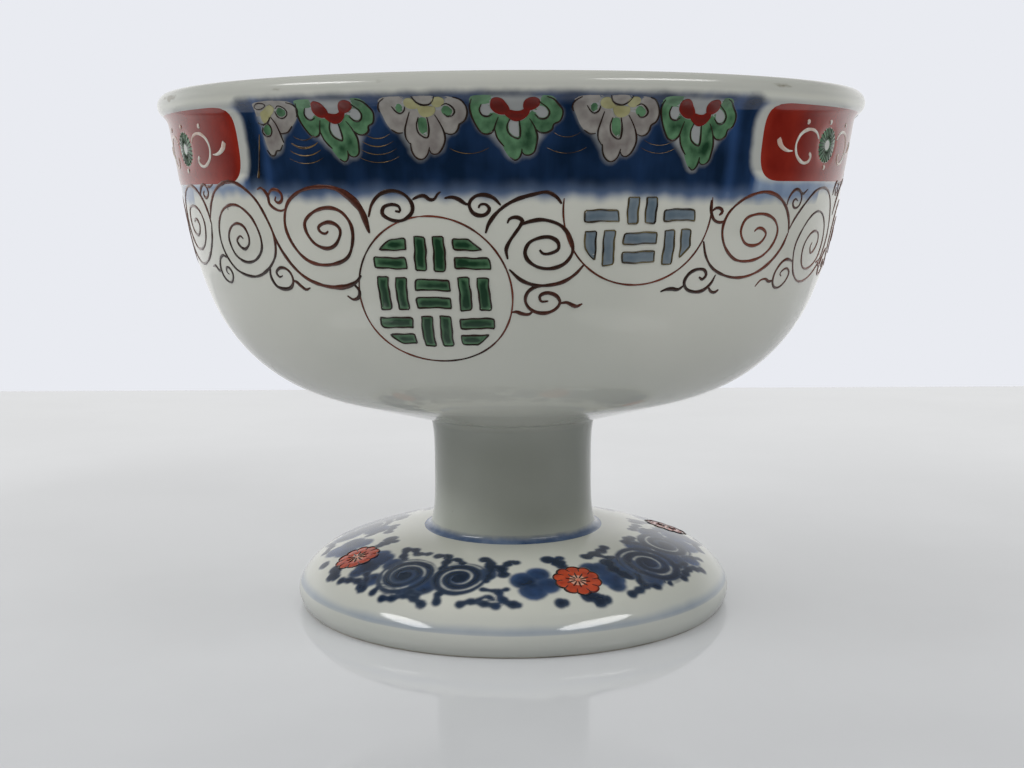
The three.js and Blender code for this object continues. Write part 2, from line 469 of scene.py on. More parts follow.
def bowl_surface(clay):
    outside = bowl_outside(clay)
    under, bead, _ = lip_outline(clay, outside["wall"][0][-1])
    lines = [line for line, _ in outside.values()]
    outline = respaced(joined(*lines, under, bead[:25]), 0.25)
    return Surface("bowl", outline, BOWL_REFERENCE_RADIUS)


def foot_surface(clay):
    outline = respaced(joined(*foot_outside(clay)), 0.25)
    return Surface("foot", outline, FOOT_REFERENCE_RADIUS)


# Objects and node trees.


def link(data, name):
    item = bpy.data.objects.new(name, data)
    bpy.context.scene.collection.objects.link(item)
    return item


def curve_object(name, lines):
    """A curve object with one spline for each line of points in millimetres and their widths."""
    curve = bpy.data.curves.new(name, "CURVE")
    curve.dimensions = "3D"
    for points, radii in lines:
        spline = curve.splines.new("POLY")
        spline.points.add(len(points) - 1)
        places = stacked(points * MM, np.ones(len(points)))
        spline.points.foreach_set("co", places.ravel())
        spline.points.foreach_set("radius", np.asarray(radii, float) * MM)
    return link(curve, name)


def interface(tree, inputs, outputs):
    """Named sockets of a node group, each given as its name, its kind and perhaps a default."""
    for in_out, sockets in (("INPUT", inputs), ("OUTPUT", outputs)):
        for name, kind, *default in sockets:
            kind = "NodeSocket" + kind
            socket = tree.interface.new_socket(name=name, in_out=in_out, socket_type=kind)
            if default:
                socket.default_value = default[0]


class Wiring:
    """Adds nodes to a tree and joins them to what comes before."""

    def __init__(self, tree):
        self.tree = tree
        self.tree.nodes.clear()

    def add(self, kind, inputs=None, **options):
        node = self.tree.nodes.new(kind)
        node.location = (180 * len(self.tree.nodes), 0)
        for name, value in options.items():
            setattr(node, name, value)
        for name, value in (inputs or {}).items():
            self.join(node.inputs[name], value)
        return node

    def join(self, socket, value):
        if isinstance(value, bpy.types.Node):
            value = value.outputs[0]
        if isinstance(value, Color):
            value = (*value, 1.0)
        if isinstance(value, bpy.types.NodeSocket):
            self.tree.links.new(value, socket)
        else:
            socket.default_value = value

    def shader(self, kind, inputs=None, **options):
        return self.add("ShaderNode" + kind, inputs, **options)

    def geometry(self, kind, inputs=None, **options):
        return self.add("GeometryNode" + kind, inputs, **options)

    def math(self, operation, first, second=0.0, third=0.0, clamp=False):
        inputs = {0: first, 1: second, 2: third}
        return self.shader("Math", inputs, operation=operation, use_clamp=clamp)

    def plus(self, first, second, **options):
        return self.math("ADD", first, second, **options)

    def minus(self, first, second):
        return self.math("SUBTRACT", first, second)

    def times(self, first, second):
        return self.math("MULTIPLY", first, second)

    def times_plus(self, first, second, third, **options):
        return self.math("MULTIPLY_ADD", first, second, third, **options)

    def vector(self, x, y, z):
        return self.shader("CombineXYZ", {0: x, 1: y, 2: z})

    def parts(self, vector):
        return self.shader("SeparateXYZ", {0: vector}).outputs

    def shape_of(self, item):
        return self.geometry("ObjectInfo", {"Object": item}).outputs["Geometry"]


def bowl_tree(name, inputs):
    """A geometry tree that puts out one geometry."""
    tree = bpy.data.node_groups.new(name, "GeometryNodeTree")
    interface(tree, inputs, [("Geometry", "Geometry")])
    wiring = Wiring(tree)
    return tree, wiring, wiring.add("NodeGroupInput").outputs


def turned_clay_tree():
    """Turns an outline about the Z axis, one row of points for each point of the outline."""
    tree, w, given = bowl_tree("Turned clay", [
        ("Outline", "Object"), ("Columns", "Int", 360), ("Crease", "Float", 0.6),
        ("Material", "Material"),
    ])
    outline = w.shape_of(given["Outline"])
    size = w.geometry("AttributeDomainSize", {0: outline}, component="CURVE")
    rows = size.outputs["Point Count"]
    posts = w.plus(given["Columns"], 1)
    grid = w.geometry("MeshGrid", {"Vertices X": posts, "Vertices Y": rows})
    index = w.geometry("InputIndex")
    row = w.math("MODULO", index, rows)
    column = w.math("FLOOR", w.math("DIVIDE", w.plus(index, 0.5), rows))
    place = w.geometry("SampleIndex", {
        "Geometry": outline, "Value": w.geometry("InputPosition"), "Index": row,
    }, data_type="FLOAT_VECTOR", domain="POINT")
    radius, _, height = w.parts(place)
    turn = w.times(w.math("DIVIDE", column, given["Columns"]), math.tau)
    x = w.times(radius, w.math("SINE", turn))
    y = w.times(radius, w.math("COSINE", turn))
    place = w.vector(x, w.times(y, -1), height)
    turned = w.geometry("SetPosition", {"Geometry": grid.outputs["Mesh"], "Position": place})
    whole = w.geometry("MergeByDistance", {"Geometry": turned, "Distance": 2e-6})
    smooth = w.geometry("SetShadeSmooth", {"Geometry": whole})
    angle = w.geometry("InputMeshEdgeAngle").outputs["Unsigned Angle"]
    sharp = w.math("GREATER_THAN", angle, given["Crease"])
    creased = w.geometry("SetShadeSmooth", {
        "Geometry": smooth, "Selection": sharp, "Shade Smooth": False,
    }, domain="EDGE")
    real = w.geometry("RealizeInstances", {0: creased})
    coated = w.geometry("SetMaterial", {"Geometry": real, "Material": given["Material"]})
    w.add("NodeGroupOutput", {0: coated})
    return tree


BRUSH_INPUTS = [
    ("Strokes", "Object"), ("Flatness", "Float", 0.26), ("Lift", "Float", 0.00005),
    ("Sink", "Float", 0.00003),
]
LAYING_INPUTS = [
    ("Surface", "Object"), ("Reference radius", "Float", 0.077), ("Copies", "Int", 1),
    ("Pitch", "Float", 2.0944), ("Material", "Material"),
]


def brush_line_tree():
    """Lays a low rounded line of enamel along each stroke, as wide as the stroke's radius."""
    tree, w, given = bowl_tree("Brush line", BRUSH_INPUTS)
    strokes = w.shape_of(given["Strokes"])
    upright = w.geometry("SetCurveNormal", {0: strokes, "Normal": (0, 0, 1)}, mode="FREE")
    ring = w.geometry("CurvePrimitiveCircle", {"Resolution": 8, "Radius": 1.0})
    lens = w.geometry("Transform", {
        "Geometry": ring.outputs["Curve"], "Scale": w.vector(given["Flatness"], 1, 1),
    })
    line = w.geometry("CurveToMesh", {
        "Curve": upright, "Profile Curve": lens, "Scale": w.geometry("InputRadius"),
        "Fill Caps": True,
    })
    place = w.geometry("InputPosition")
    x, y, z = w.parts(place)
    top = w.math("GREATER_THAN", z, 1e-7)
    raised = w.plus(z, given["Lift"])
    sunk = w.times(given["Sink"], -1)
    share = w.minus(raised, sunk)
    height = w.times_plus(share, top, sunk)
    shaped = w.geometry("SetPosition", {"Geometry": line, "Position": w.vector(x, y, height)})
    smooth = w.geometry("SetShadeSmooth", {"Geometry": shaped})
    w.add("NodeGroupOutput", {0: smooth})
    return tree


def lay_round_tree():
    """Lays flat work on a turned surface and repeats it round the axis."""
    inputs = [("Flat work", "Geometry"), *LAYING_INPUTS]
    tree, w, given = bowl_tree("Lay round the pot", inputs)
    guide = w.shape_of(given["Surface"])
    x, y, z = w.parts(w.geometry("InputPosition"))
    sample = w.geometry("SampleCurve", {"Curves": guide, "Length": y}, mode="LENGTH")
    radius, _, height = w.parts(sample.outputs["Position"])
    tangent = w.parts(sample.outputs["Tangent"])
    radius = w.times_plus(z, tangent[2], radius)
    fall = w.times(z, tangent[0])
    height = w.minus(height, fall)
    turn = w.math("DIVIDE", x, given["Reference radius"])
    across = w.times(radius, w.math("SINE", turn))
    away = w.times(radius, w.math("COSINE", turn))
    place = w.vector(across, w.times(away, -1), height)
    laid = w.geometry("SetPosition", {"Geometry": given["Flat work"], "Position": place})
    posts = w.geometry("MeshLine", {"Count": given["Copies"], "Offset": (0, 0, 0)})
    index = w.geometry("InputIndex")
    rotation = w.vector(0, 0, w.times(index, given["Pitch"]))
    copies = w.geometry("InstanceOnPoints", {
        "Points": posts, "Instance": laid, "Rotation": rotation,
    })
    real = w.geometry("RealizeInstances", {0: copies})
    coated = w.geometry("SetMaterial", {"Geometry": real, "Material": given["Material"]})
    w.add("NodeGroupOutput", {0: coated})
    return tree


def painted_line_tree():
    """Brush lines laid round the pot."""
    tree, w, given = bowl_tree("Painted line", BRUSH_INPUTS + LAYING_INPUTS)
    values = {name: given[name] for name, *_ in BRUSH_INPUTS}
    line = w.geometry("Group", values, node_tree=shared_tree("Brush line", brush_line_tree))
    values = {"Flat work": line, **{name: given[name] for name, *_ in LAYING_INPUTS}}
    laying = shared_tree("Lay round the pot", lay_round_tree)
    laid = w.geometry("Group", values, node_tree=laying)
    w.add("NodeGroupOutput", {0: laid})
    return tree


def shared_tree(name, build):
    return bpy.data.node_groups.get(name) or build()


def shaped(piece, tree, values):
    """Runs a tree on a piece with its inputs set, and keeps the result as a plain mesh."""
    modifier = piece.modifiers.new(tree.name, "NODES")
    modifier.node_group = tree
    for item in tree.interface.items_tree:
        if item.in_out == "INPUT" and item.name in values:
            modifier[item.identifier] = values[item.name]
    depsgraph = bpy.context.evaluated_depsgraph_get()
    mesh = bpy.data.meshes.new_from_object(piece.evaluated_get(depsgraph), depsgraph=depsgraph)
    if not mesh.polygons:
        raise RuntimeError(f"{tree.name} made nothing for {piece.name}")
    piece.modifiers.clear()
    piece.data = mesh
    mesh.name = piece.name
    return piece


def hand_in(piece, node=None):
    """The piece rides on the pot's root body and may stand for a CAD node, which it hides."""
    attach(piece, "root")
    if node:
        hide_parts(node)
    return piece


def turned_piece(name, outline, material, columns):
    guide_points = stacked(outline[:, 0], np.zeros(len(outline)), outline[:, 1])
    guide = curve_object(name + " outline", [(guide_points, np.ones(len(outline)))])
    piece = link(bpy.data.meshes.new(name), name)
    tree = shared_tree("Turned clay", turned_clay_tree)
    shaped(piece, tree, {"Outline": guide, "Columns": columns, "Material": material})
    bpy.data.objects.remove(guide)
    return piece


# Flat work: strokes and patches, set out in degrees and millimetres.


def between(t, low, high, first, second):
    return ((high - t) * first + (t - low) * second) / (high - low)


def smooth_line(points, gap, closed=False):
    """A smooth line through the points, as points a set gap apart."""
    points = np.asarray(points, float)
    before, after = 2 * points[0] - points[1], [2 * points[-1] - points[-2]]
    if closed:
        before, after = points[-1], points[:2]
    padded = np.vstack([before, points, after])
    line = []
    for a, b, c, d in zip(padded, padded[1:], padded[2:], padded[3:]):
        steps = [math.sqrt(np.linalg.norm(q - p)) for p, q in ((a, b), (b, c), (c, d))]
        t0, t1, t2, t3 = np.cumsum([0, *steps])
        t = np.linspace(t1, t2, 10, endpoint=False)[:, None]
        ab, bc = between(t, t0, t1, a, b), between(t, t1, t2, b, c)
        cd = between(t, t2, t3, c, d)
        line.append(between(t, t1, t2, between(t, t0, t2, ab, bc), between(t, t1, t3, bc, cd)))
    last = points[:1] if closed else points[-1:]
    return respaced(np.vstack(line + [last]), gap)


def to_flat(surface, marks):
    """Marks in degrees and height as millimetres across and along the surface."""
    marks = np.asarray(marks, float)
    run = surface.run_at_height(marks[:, 1])
    return stacked(surface.across(marks[:, 0]), run)


def stroke(line, width, tips=(0.45, 0.45), swell=None, wobble=0.12):
    """A line of points with half its width at each, thinner towards its tips."""
    run = run_along(line)
    whole = run[-1]
    taper = min(2.2, whole / 3)
    start = tips[0] + (1 - tips[0]) * np.clip(run / taper, 0, 1) ** 0.7
    finish = tips[1] + (1 - tips[1]) * np.clip((whole - run) / taper, 0, 1) ** 0.7
    pulse = 1 + wobble * np.sin(run * 0.83 + whole) + wobble / 2 * np.sin(run * 2.1 + 1)
    radii = width / 2 * start * finish * pulse
    if swell:
        place, amount, spread = swell
        radii = radii * (1 + amount * np.exp(-(((run / whole - place) / spread) ** 2)))
    return line, radii


def laid_round(piece, surface, tree, material, copies, values):
    """Runs a tree that lays flat work on a surface, the given number of times round the pot."""
    guide = surface.guide()
    shaped(piece, tree, {
        **values, "Surface": guide, "Reference radius": surface.reference_radius * MM,
        "Copies": copies, "Pitch": math.radians(PANEL_PITCH), "Material": material,
    })
    bpy.data.objects.remove(guide)


def painted_strokes(name, surface, strokes, material, copies=1, over=False):
    """A piece made of brush lines, given as flat points and half-widths in millimetres."""
    brush = settings().brush
    lift = brush.high_lift if over else brush.lift
    lines = [(stacked(line, np.zeros(len(line))), radii) for line, radii in strokes]
    drawn = curve_object(name + " strokes", lines)
    piece = link(bpy.data.meshes.new(name), name)
    laid_round(piece, surface, shared_tree("Painted line", painted_line_tree), material, copies, {
        "Strokes": drawn, "Flatness": brush.flatness, "Lift": lift, "Sink": brush.sink,
    })
    bpy.data.objects.remove(drawn)
    return hand_in(piece)


def nearest_on_line(points, line):
    """The distance from each point to a line, and how far along the line it is nearest."""
    best = np.full(len(points), np.inf)
    place = np.zeros(len(points))
    for a, b, before in zip(line, line[1:], run_along(line)):
        way = b - a
        span = max(np.linalg.norm(way), 1e-9)
        share = np.clip((points - a) @ way / span ** 2, 0, 1)
        gap = np.linalg.norm(points - a - share[:, None] * way, axis=1)
        place = np.where(gap < best, before + share * span, place)
        best = np.minimum(best, gap)
    return best, place


def distance_to_loop(points, loop):
    return nearest_on_line(points, np.vstack([loop, loop[:1]]))[0]


def within(points, line):
    """Whether each point lies inside a closed line."""
    x, y = points[:, 0], points[:, 1]
    inside = np.zeros(len(points), bool)
    for a, b in zip(line, np.roll(line, -1, axis=0)):
        crosses = (a[1] > y) != (b[1] > y)
        rise = b[1] - a[1] if b[1] != a[1] else 1e-12
        inside ^= crosses & (x < (b[0] - a[0]) * (y - a[1]) / rise + a[0])
    return inside


def depth_inside(points, line):
    """Signed distance to a closed line, positive inside it."""
    distance = distance_to_loop(points, line)
    return np.where(within(points, line), distance, -distance)


def filled(outline, holes, grain):
    """Points and triangles that fill an outline, and each point's distance from its edge."""
    loops = [outline, *holes]
    low, high = outline.min(0), outline.max(0)
    columns = np.arange(low[0] + grain / 2, high[0], grain)
    rows = np.arange(low[1] + grain / 2, high[1], grain)
    grid = np.array([(x + grain / 2 * (i % 2), y) for i, y in enumerate(rows) for x in columns])
    depth = depth_inside(grid, outline)
    for hole in holes:
        depth = np.minimum(depth, -depth_inside(grid, hole))
    inner = grid[depth > grain * 0.55]
    points, edges = [], []
    for loop in loops:
        first = len(points)
        points += list(loop)
        edges += [(first + i, first + (i + 1) % len(loop)) for i in range(len(loop))]
    points = np.vstack([np.array(points), inner]) if len(inner) else np.array(points)
    vectors = [Vector(p) for p in points]
    made, _, faces, _, _, _ = delaunay_2d_cdt(vectors, edges, [], 1, 1e-6)
    points = np.array([tuple(p) for p in made])
    triangles = np.array([f for f in faces if len(f) == 3])
    middles = points[triangles].mean(1)
    keep = within(middles, outline)
    for hole in holes:
        keep &= ~within(middles, hole)
    edge = np.min([distance_to_loop(points, loop) for loop in loops], axis=0)
    return points, triangles[keep], edge


def patch(outline, holes, thickness, sink, grain, base):
    """A thin low cushion of enamel with a closed underside, flat, as points and faces."""
    points, triangles, edge = filled(outline, holes, grain)
    rise = base + thickness * (1 - np.exp(-edge / 0.5))
    upper = stacked(points, rise)
    lower = stacked(points, np.full(len(points), -sink))
    spans = np.vstack([triangles[:, pair] for pair in ([0, 1], [1, 2], [2, 0])])
    _, first, seen = np.unique(np.sort(spans), axis=0, return_index=True, return_counts=True)
    rim = spans[first[seen == 1]]
    size = len(points)
    sides = stacked(rim[:, 1], rim[:, 0], rim[:, 0] + size, rim[:, 1] + size)
    faces = triangles.tolist() + (triangles[:, ::-1] + size).tolist() + sides.tolist()
    return np.vstack([upper, lower]), faces, np.concatenate([edge, edge])


def painted_patches(name, surface, patches, material, copies=1, base=0.0):
    """A piece made of patches of enamel, given as outlines with holes in flat millimetres."""
    brush = settings().brush
    thickness, sink, grain = brush.enamel / MM, brush.sink / MM, brush.grain / MM
    points, faces, edges = [], [], []
    for outline, holes in patches:
        laid, sides, edge = patch(outline, holes, thickness, sink, grain, base)
        faces += [[corner + len(points) for corner in side] for side in sides]
        points += laid.tolist()
        edges += edge.tolist()
    mesh = bpy.data.meshes.new(name)
    mesh.from_pydata(np.array(points) * MM, [], faces)
    store(mesh, "edge_distance", edges)
    piece = link(mesh, name)
    mesh.shade_smooth()
    mesh.set_sharp_from_angle(angle=math.radians(40))
    tree = shared_tree("Lay round the pot", lay_round_tree)
    laid_round(piece, surface, tree, material, copies, {})
    return hand_in(piece)


def store(mesh, name, values):
    """A number for each point of a mesh."""
    attribute = mesh.attributes.get(name) or mesh.attributes.new(name, "FLOAT", "POINT")
    attribute.data.foreach_set("value", np.asarray(values, np.float32))


def round_outline(centre, radius_across, radius_up, gap=0.5):
    """A round or oval outline, run anticlockwise."""
    steps = max(10, int(math.tau * max(radius_across, radius_up) / gap))
    turn = np.linspace(0, math.tau, steps, endpoint=False)
    across = centre[0] + radius_across * np.cos(turn)
    up = centre[1] + radius_up * np.sin(turn)
    return stacked(across, up)


def anticlockwise(outline):
    x, y = outline[:, 0], outline[:, 1]
    area = np.sum(x * np.roll(y, -1) - np.roll(x, -1) * y)
    return outline if area > 0 else outline[::-1]


def leaf_shape(surface, marks, gap=0.5):
    """A closed smooth outline through marks in degrees and height."""
    line = smooth_line(to_flat(surface, marks), gap, closed=True)
    return anticlockwise(line[:-1])


def brush_marks(surface, marks, width, gap=0.4, **options):
    """A stroke through marks in degrees and height."""
    return stroke(smooth_line(to_flat(surface, marks), gap), width, **options)


def about(place, marks):
    """Marks in tenths of a degree and of a millimetre about a place, in degrees and height."""
    return np.array(marks, float) / 10 + place


# The cartouches: red with pale scrolls round a green chrysanthemum.

CARTOUCHE_SCROLL = [
    (-3.9, 106.8), (-4.8, 107.9), (-6.4, 108.5), (-8.3, 108.3), (-9.9, 107.2), (-10.6, 105.5),
    (-10.2, 103.7), (-8.9, 102.4), (-7.4, 101.9), (-6.1, 102.4), (-5.8, 103.3), (-6.4, 103.9),
]
CARTOUCHE_LEAF = [(-15.2, 106.5), (-14.6, 105.4), (-13.6, 104.6), (-12.4, 104.2), (-11.3, 104.2)]
CARTOUCHE_DOTS = [(-8.0, 109.9), (8.0, 109.9), (-0.2, 110.2), (-0.2, 101.1)]
FLOWER_HEIGHT = 105.6
FLOWER_SIZE = (4.4, 3.55)


def cartouche_outline(surface, end_growth=0.0, top_growth=0.0, gap=0.8):
    """A rounded oblong about the cartouche's centre, grown by margins in millimetres."""
    low, high = surface.run_at_height(CARTOUCHE_HEIGHTS)
    half_height = (high - low + top_growth) / 2
    half_length = CARTOUCHE_HALF_LENGTH + end_growth
    middle = low + half_height
    turn = np.linspace(0, math.tau, 200, endpoint=False)
    squareness = 0.62
    cos, sin = np.cos(turn), np.sin(turn)
    end = 8.4
    across = np.sign(cos) * (half_length - end) + end * np.sign(cos) * np.abs(cos) ** squareness
    up = middle + half_height * np.sign(sin) * np.abs(sin) ** squareness
    outline = stacked(across + surface.across(CARTOUCHE_CENTRE), up)
    return respaced(np.vstack([outline, outline[:1]]), gap)[:-1]


def cartouche_scroll_strokes(surface):
    width = millimetres(settings().brush, "reserve_line")
    strokes = []
    for side in (1, -1):
        scroll = np.array(CARTOUCHE_SCROLL) * (side, 1) + (CARTOUCHE_CENTRE, 0)
        leaf = np.array(CARTOUCHE_LEAF) * (side, 1) + (CARTOUCHE_CENTRE, 0)
        strokes.append(brush_marks(surface, scroll, width, swell=(0.98, 0.7, 0.06)))
        strokes.append(brush_marks(surface, leaf, width, tips=(0.9, 0.3), swell=(0.12, 0.9, 0.25)))
    for degrees, height in CARTOUCHE_DOTS:
        centre = CARTOUCHE_CENTRE + degrees
        dot = [(centre - 0.35, height), (centre + 0.35, height + 0.1)]
        strokes.append(brush_marks(surface, dot, width * 1.4, tips=(0.7, 0.7)))
    return strokes


def chrysanthemum(surface):
    """The flower's scalloped green disc, its petal lines and its eye, all flat."""
    centre = to_flat(surface, [(CARTOUCHE_CENTRE, FLOWER_HEIGHT)])[0]
    petals = 22
    turn = np.linspace(0, math.tau, petals * 6, endpoint=False)
    edge = 1 + 0.06 * np.cos(petals * turn)
    disc = stacked(
        centre[0] + FLOWER_SIZE[0] * edge * np.cos(turn),
        centre[1] + FLOWER_SIZE[1] * edge * np.sin(turn),
    )
    lines = []
    for petal in range(petals):
        angle = (petal + 0.5) / petals * math.tau
        reach = np.linspace(0.36, 0.99, 8)[:, None]
        way = np.array([FLOWER_SIZE[0] * math.cos(angle), FLOWER_SIZE[1] * math.sin(angle)])
        lines.append(stroke(centre + reach * way, 0.34))
    eye = round_outline(centre, 1.25, 1.0, 0.3)
    return disc, lines, eye


# The hanging leaves: green ones with red crowns and lilac ones with yellow crowns. Each mark is
# tenths of a degree from the leaf's centre line, and tenths of a millimetre down from its top.

GREEN_LEAF = [
    (-62, 1), (-64.5, 16), (-62, 34), (-55, 53), (-47.5, 64), (-39, 66), (-31, 59), (-28, 72),
    (-21, 83), (-16, 96), (-9, 108), (-2, 112), (3.5, 109), (7.5, 98), (11, 102), (18, 103.5),
    (25, 98), (28, 86), (29, 72), (27.5, 60), (34, 64), (43, 63.5), (50.5, 56), (53, 48), (61, 43),
    (65, 32), (64, 22), (57, 10), (49, 1),
]
GREEN_LEAF_UNDER_CROWN = [
    (34, 0), (32.5, 9), (29, 18), (22, 24), (17, 31), (11, 40), (3, 44), (-6, 42), (-14, 34),
    (-22, 33), (-32, 27), (-37, 18), (-36, 8), (-31, 0),
]
GREEN_LEAF_DROPS = [
    [(-48, 15), (-50, 24), (-46, 32), (-39, 33), (-35, 25), (-40, 15)],
    [(27, 29), (33, 37), (41, 36), (44, 29), (41, 22), (33, 17)],
    [(-9, 42), (-11, 52), (-9, 63), (-2, 70), (3, 71), (3.5, 60), (3, 50), (1, 41)],
]
GREEN_LEAF_LINES = [
    [(-61, 4), (-64.5, 18), (-62, 34), (-55, 53), (-48, 64), (-39, 66), (-32, 60), (-29, 49),
     (-25, 36)],
    [(-30, 58), (-27.5, 71), (-21, 83), (-17, 88)],
    [(-9, 107), (-2, 112.5), (3.5, 109), (7.2, 100), (7.8, 92)],
    [(7.4, 97), (11, 102.5), (18, 103.5), (25, 98), (28, 86), (29.5, 72), (27, 59), (22, 46),
     (18, 39)],
    [(26, 56), (33, 63.5), (42, 64), (50, 58), (52, 49), (60, 44), (64, 34), (64, 24), (57, 13),
     (49, 4), (41, 1)],
    [(-48, 13), (-51, 24), (-47, 33), (-39, 35), (-33, 31)],
    [(25, 31), (33, 39.5), (42, 38), (46, 29), (43, 21), (35, 13), (30, 9)],
    [(-9, 40), (-13, 52), (-11, 64), (-3, 72), (4, 74), (5.5, 65), (5, 54), (4, 42)],
]
RED_CROWN = [
    [(-36, 12), (-34, 5), (-27, 2), (-19, 5), (-14, 12), (-10, 19), (-9, 26), (-13, 31), (-22, 32),
     (-31, 27), (-36, 19)],
    [(-16, 25), (-9, 23.5), (-2, 25.5), (6, 25), (12, 21), (18, 21), (18, 29), (13, 37), (6, 42.5),
     (-3, 43.5), (-11, 38), (-16, 32)],
    [(9, 18), (10, 10), (15, 4), (24, 2), (31.5, 6), (32, 15), (25, 22.5), (17, 25), (11, 24)],
]
LILAC_LEAF = [
    (-56, 2), (-60, 15), (-55, 32), (-49, 48), (-40, 60), (-31, 63), (-25, 59), (-23, 72),
    (-18, 82), (-16, 95), (-12, 104), (-6, 109.5), (0, 109), (6, 101), (9.5, 93), (13, 99),
    (18, 100.5), (25, 95), (31, 83), (33, 71), (32, 62), (39, 65.5), (47, 63), (51, 55), (54, 47),
    (61, 41), (64.5, 28), (62, 14), (55, 4), (42, 1),
]
LILAC_LEAF_UNDER_CROWN = [
    (36, 0), (34.5, 8), (30, 16), (22, 21), (19, 28), (14, 34), (6, 36), (-1, 32), (-6, 23),
    (-16, 21), (-22, 16), (-24, 8), (-21, 0),
]
LILAC_HALF_DISC = [
    (-9, 0), (-5, 8), (4, 13), (13, 12), (18, 6), (20, 0),
]
LILAC_LEAF_DROPS = [
    [(-3, 36), (-5, 49), (-3, 60), (3, 67), (7, 67), (8, 59), (8, 48), (6, 37)],
    [(29, 20), (29, 27), (34, 33), (41, 32), (44, 25), (40, 18), (34, 15)],
    [(-33, 11), (-36, 18), (-33, 25), (-28, 27), (-26, 21), (-27, 12)],
]
LILAC_LEAF_LINES = [
    [(-49, 1), (-58, 8), (-61, 18), (-59, 25)], [(-44, 56), (-35, 62.5), (-27, 62)],
    [(-16, 25), (-21, 44), (-24, 58), (-23, 72), (-18, 82)],
    [(-17, 80), (-16, 94), (-12, 104), (-6, 109.5), (0, 109), (6, 102), (10, 88)],
    [(9.3, 92), (12, 99), (18, 101), (24, 97), (30, 85), (32.5, 72), (30, 57), (23, 39), (19, 31)],
    [(32, 63), (40, 66), (47, 63), (51, 56), (53, 48), (60, 42), (64, 29), (62, 16), (55, 5),
     (46, 1)],
    [(-41, 15), (-35, 25), (-30, 28), (-24, 24), (-22, 16)],
    [(32, 29), (36, 34), (43, 33), (47, 26), (43, 17), (36, 12), (29, 15)],
    [(-4, 35), (-7, 49), (-5, 62), (2, 70), (8, 71), (10, 62), (10, 49), (8, 35)],
    [(-10, -1), (-5, 9), (4, 14), (13, 12.5), (19, 5), (21, -1)],
]
YELLOW_CROWN = [
    [(-23, 9), (-20, 3), (-13, 1.5), (-7, 6), (-1, 13), (-4, 19), (-15, 20), (-21, 16)],
    [(-4, 17), (5, 15), (13, 16), (20, 18), (20, 26), (14, 33), (6, 35), (-1, 31)],
    [(16, 7), (22, 1), (29, 1), (34, 6), (31, 14), (24, 18), (17, 15)],
]
END_LEAF = [
    (-23, 2), (-26, 14), (-23, 30), (-19, 42), (-16, 59), (-11, 82), (-3, 98), (4, 95), (13, 90),
    (21, 80), (23, 69), (21, 61), (28, 58), (35, 54), (44, 43), (53, 28), (54, 14), (48, 2),
]
END_LEAF_DROPS = [
    [(-14, 50), (-10, 59), (-4, 60), (1, 53), (0, 44), (-8, 41)],
    [(16, 18), (20, 26), (28, 27), (34, 20), (29, 12), (21, 11)],
]
END_LEAF_LINES = [
    [(-12, 88), (-4, 99), (3, 97), (7, 90), (14, 89), (20, 79)],
    [(4, 27), (12, 39), (17, 52), (20, 64), (23, 75)],
    [(17, 58), (25, 58), (33, 56), (39, 49), (42, 45)], [(41, 2), (50, 6), (55, 16), (52, 29)],
    [(-22, 6), (-15, 2), (-7, 1), (1, 3), (-2, 7), (-11, 11), (-20, 11), (-23, 7)],
    [(-14, 45), (-16, 54), (-9, 62), (-1, 61), (3, 52), (0, 42), (-7, 38), (-13, 42)],
    [(14, 17), (18, 27), (28, 30), (36, 22), (33, 12), (24, 7), (16, 12)],
    [(-23, 36), (-15, 40), (-6, 38), (0, 32), (2, 26)],
]
END_CROWN = [
    (-15, 18), (-7, 13), (2, 7), (10, 5), (14, 11), (10, 19), (4, 25), (-1, 34), (-9, 38),
    (-14, 31),
]
# Each place: degrees, stretch across, stretch down, and degrees of lean for each millimetre down.
GREEN_LEAF_PLACES = [(-24.9, 0.94, 1.0, 0.15), (0.7, 0.96, 1.0, 0.0), (26.8, 0.96, 1.16, -0.03)]
LILAC_LEAF_PLACES = [(-12.1, 0.98, 1.0, 0.0), (14.1, 0.98, 1.05, 0.0)]
END_LEAF_PLACES = [(-36.3, 1.0, 1.0, 0.0)]
CROWN_FOOT = 110.5
CROWN_LIFT = 0.09


def leaf_places(marks, places):
    """A leaf's marks in degrees and height at each of its places."""
    across, down = np.array(marks, float).T / 10
    placed = []
    for degrees, wide, tall, lean in places:
        height = LAPPET_TOP - down * tall
        leaning = lean * np.maximum(CROWN_FOOT - height, 0)
        placed.append(stacked(degrees + across * wide + leaning, height))
    return placed


def leaf_patches(surface, leaf, drops, places):
    patches = []
    holes = [leaf_places(drop, places) for drop in drops]
    for i, outline in enumerate(leaf_places(leaf, places)):
        cut = [leaf_shape(surface, placed[i], 0.35) for placed in holes]
        patches.append((leaf_shape(surface, outline, 0.4), cut))
    return patches


def plain_patches(surface, shapes, places, gap=0.4):
    placed = [marks for shape in shapes for marks in leaf_places(shape, places)]
    return [(leaf_shape(surface, marks, gap), []) for marks in placed]


def leaf_line_strokes(surface):
    width = millimetres(settings().brush, "leaf_line")
    groups = [
        (GREEN_LEAF_LINES, GREEN_LEAF_PLACES), (LILAC_LEAF_LINES, LILAC_LEAF_PLACES),
        (END_LEAF_LINES, END_LEAF_PLACES),
    ]
    placed = [m for lines, places in groups for line in lines for m in leaf_places(line, places)]
    return [brush_marks(surface, marks, width, 0.35) for marks in placed]


# The scroll work. Each spiral was set out where it shows best. Its marks are tenths of a degree
# and of a millimetre about its place, and its like stand at its other places round the bowl.

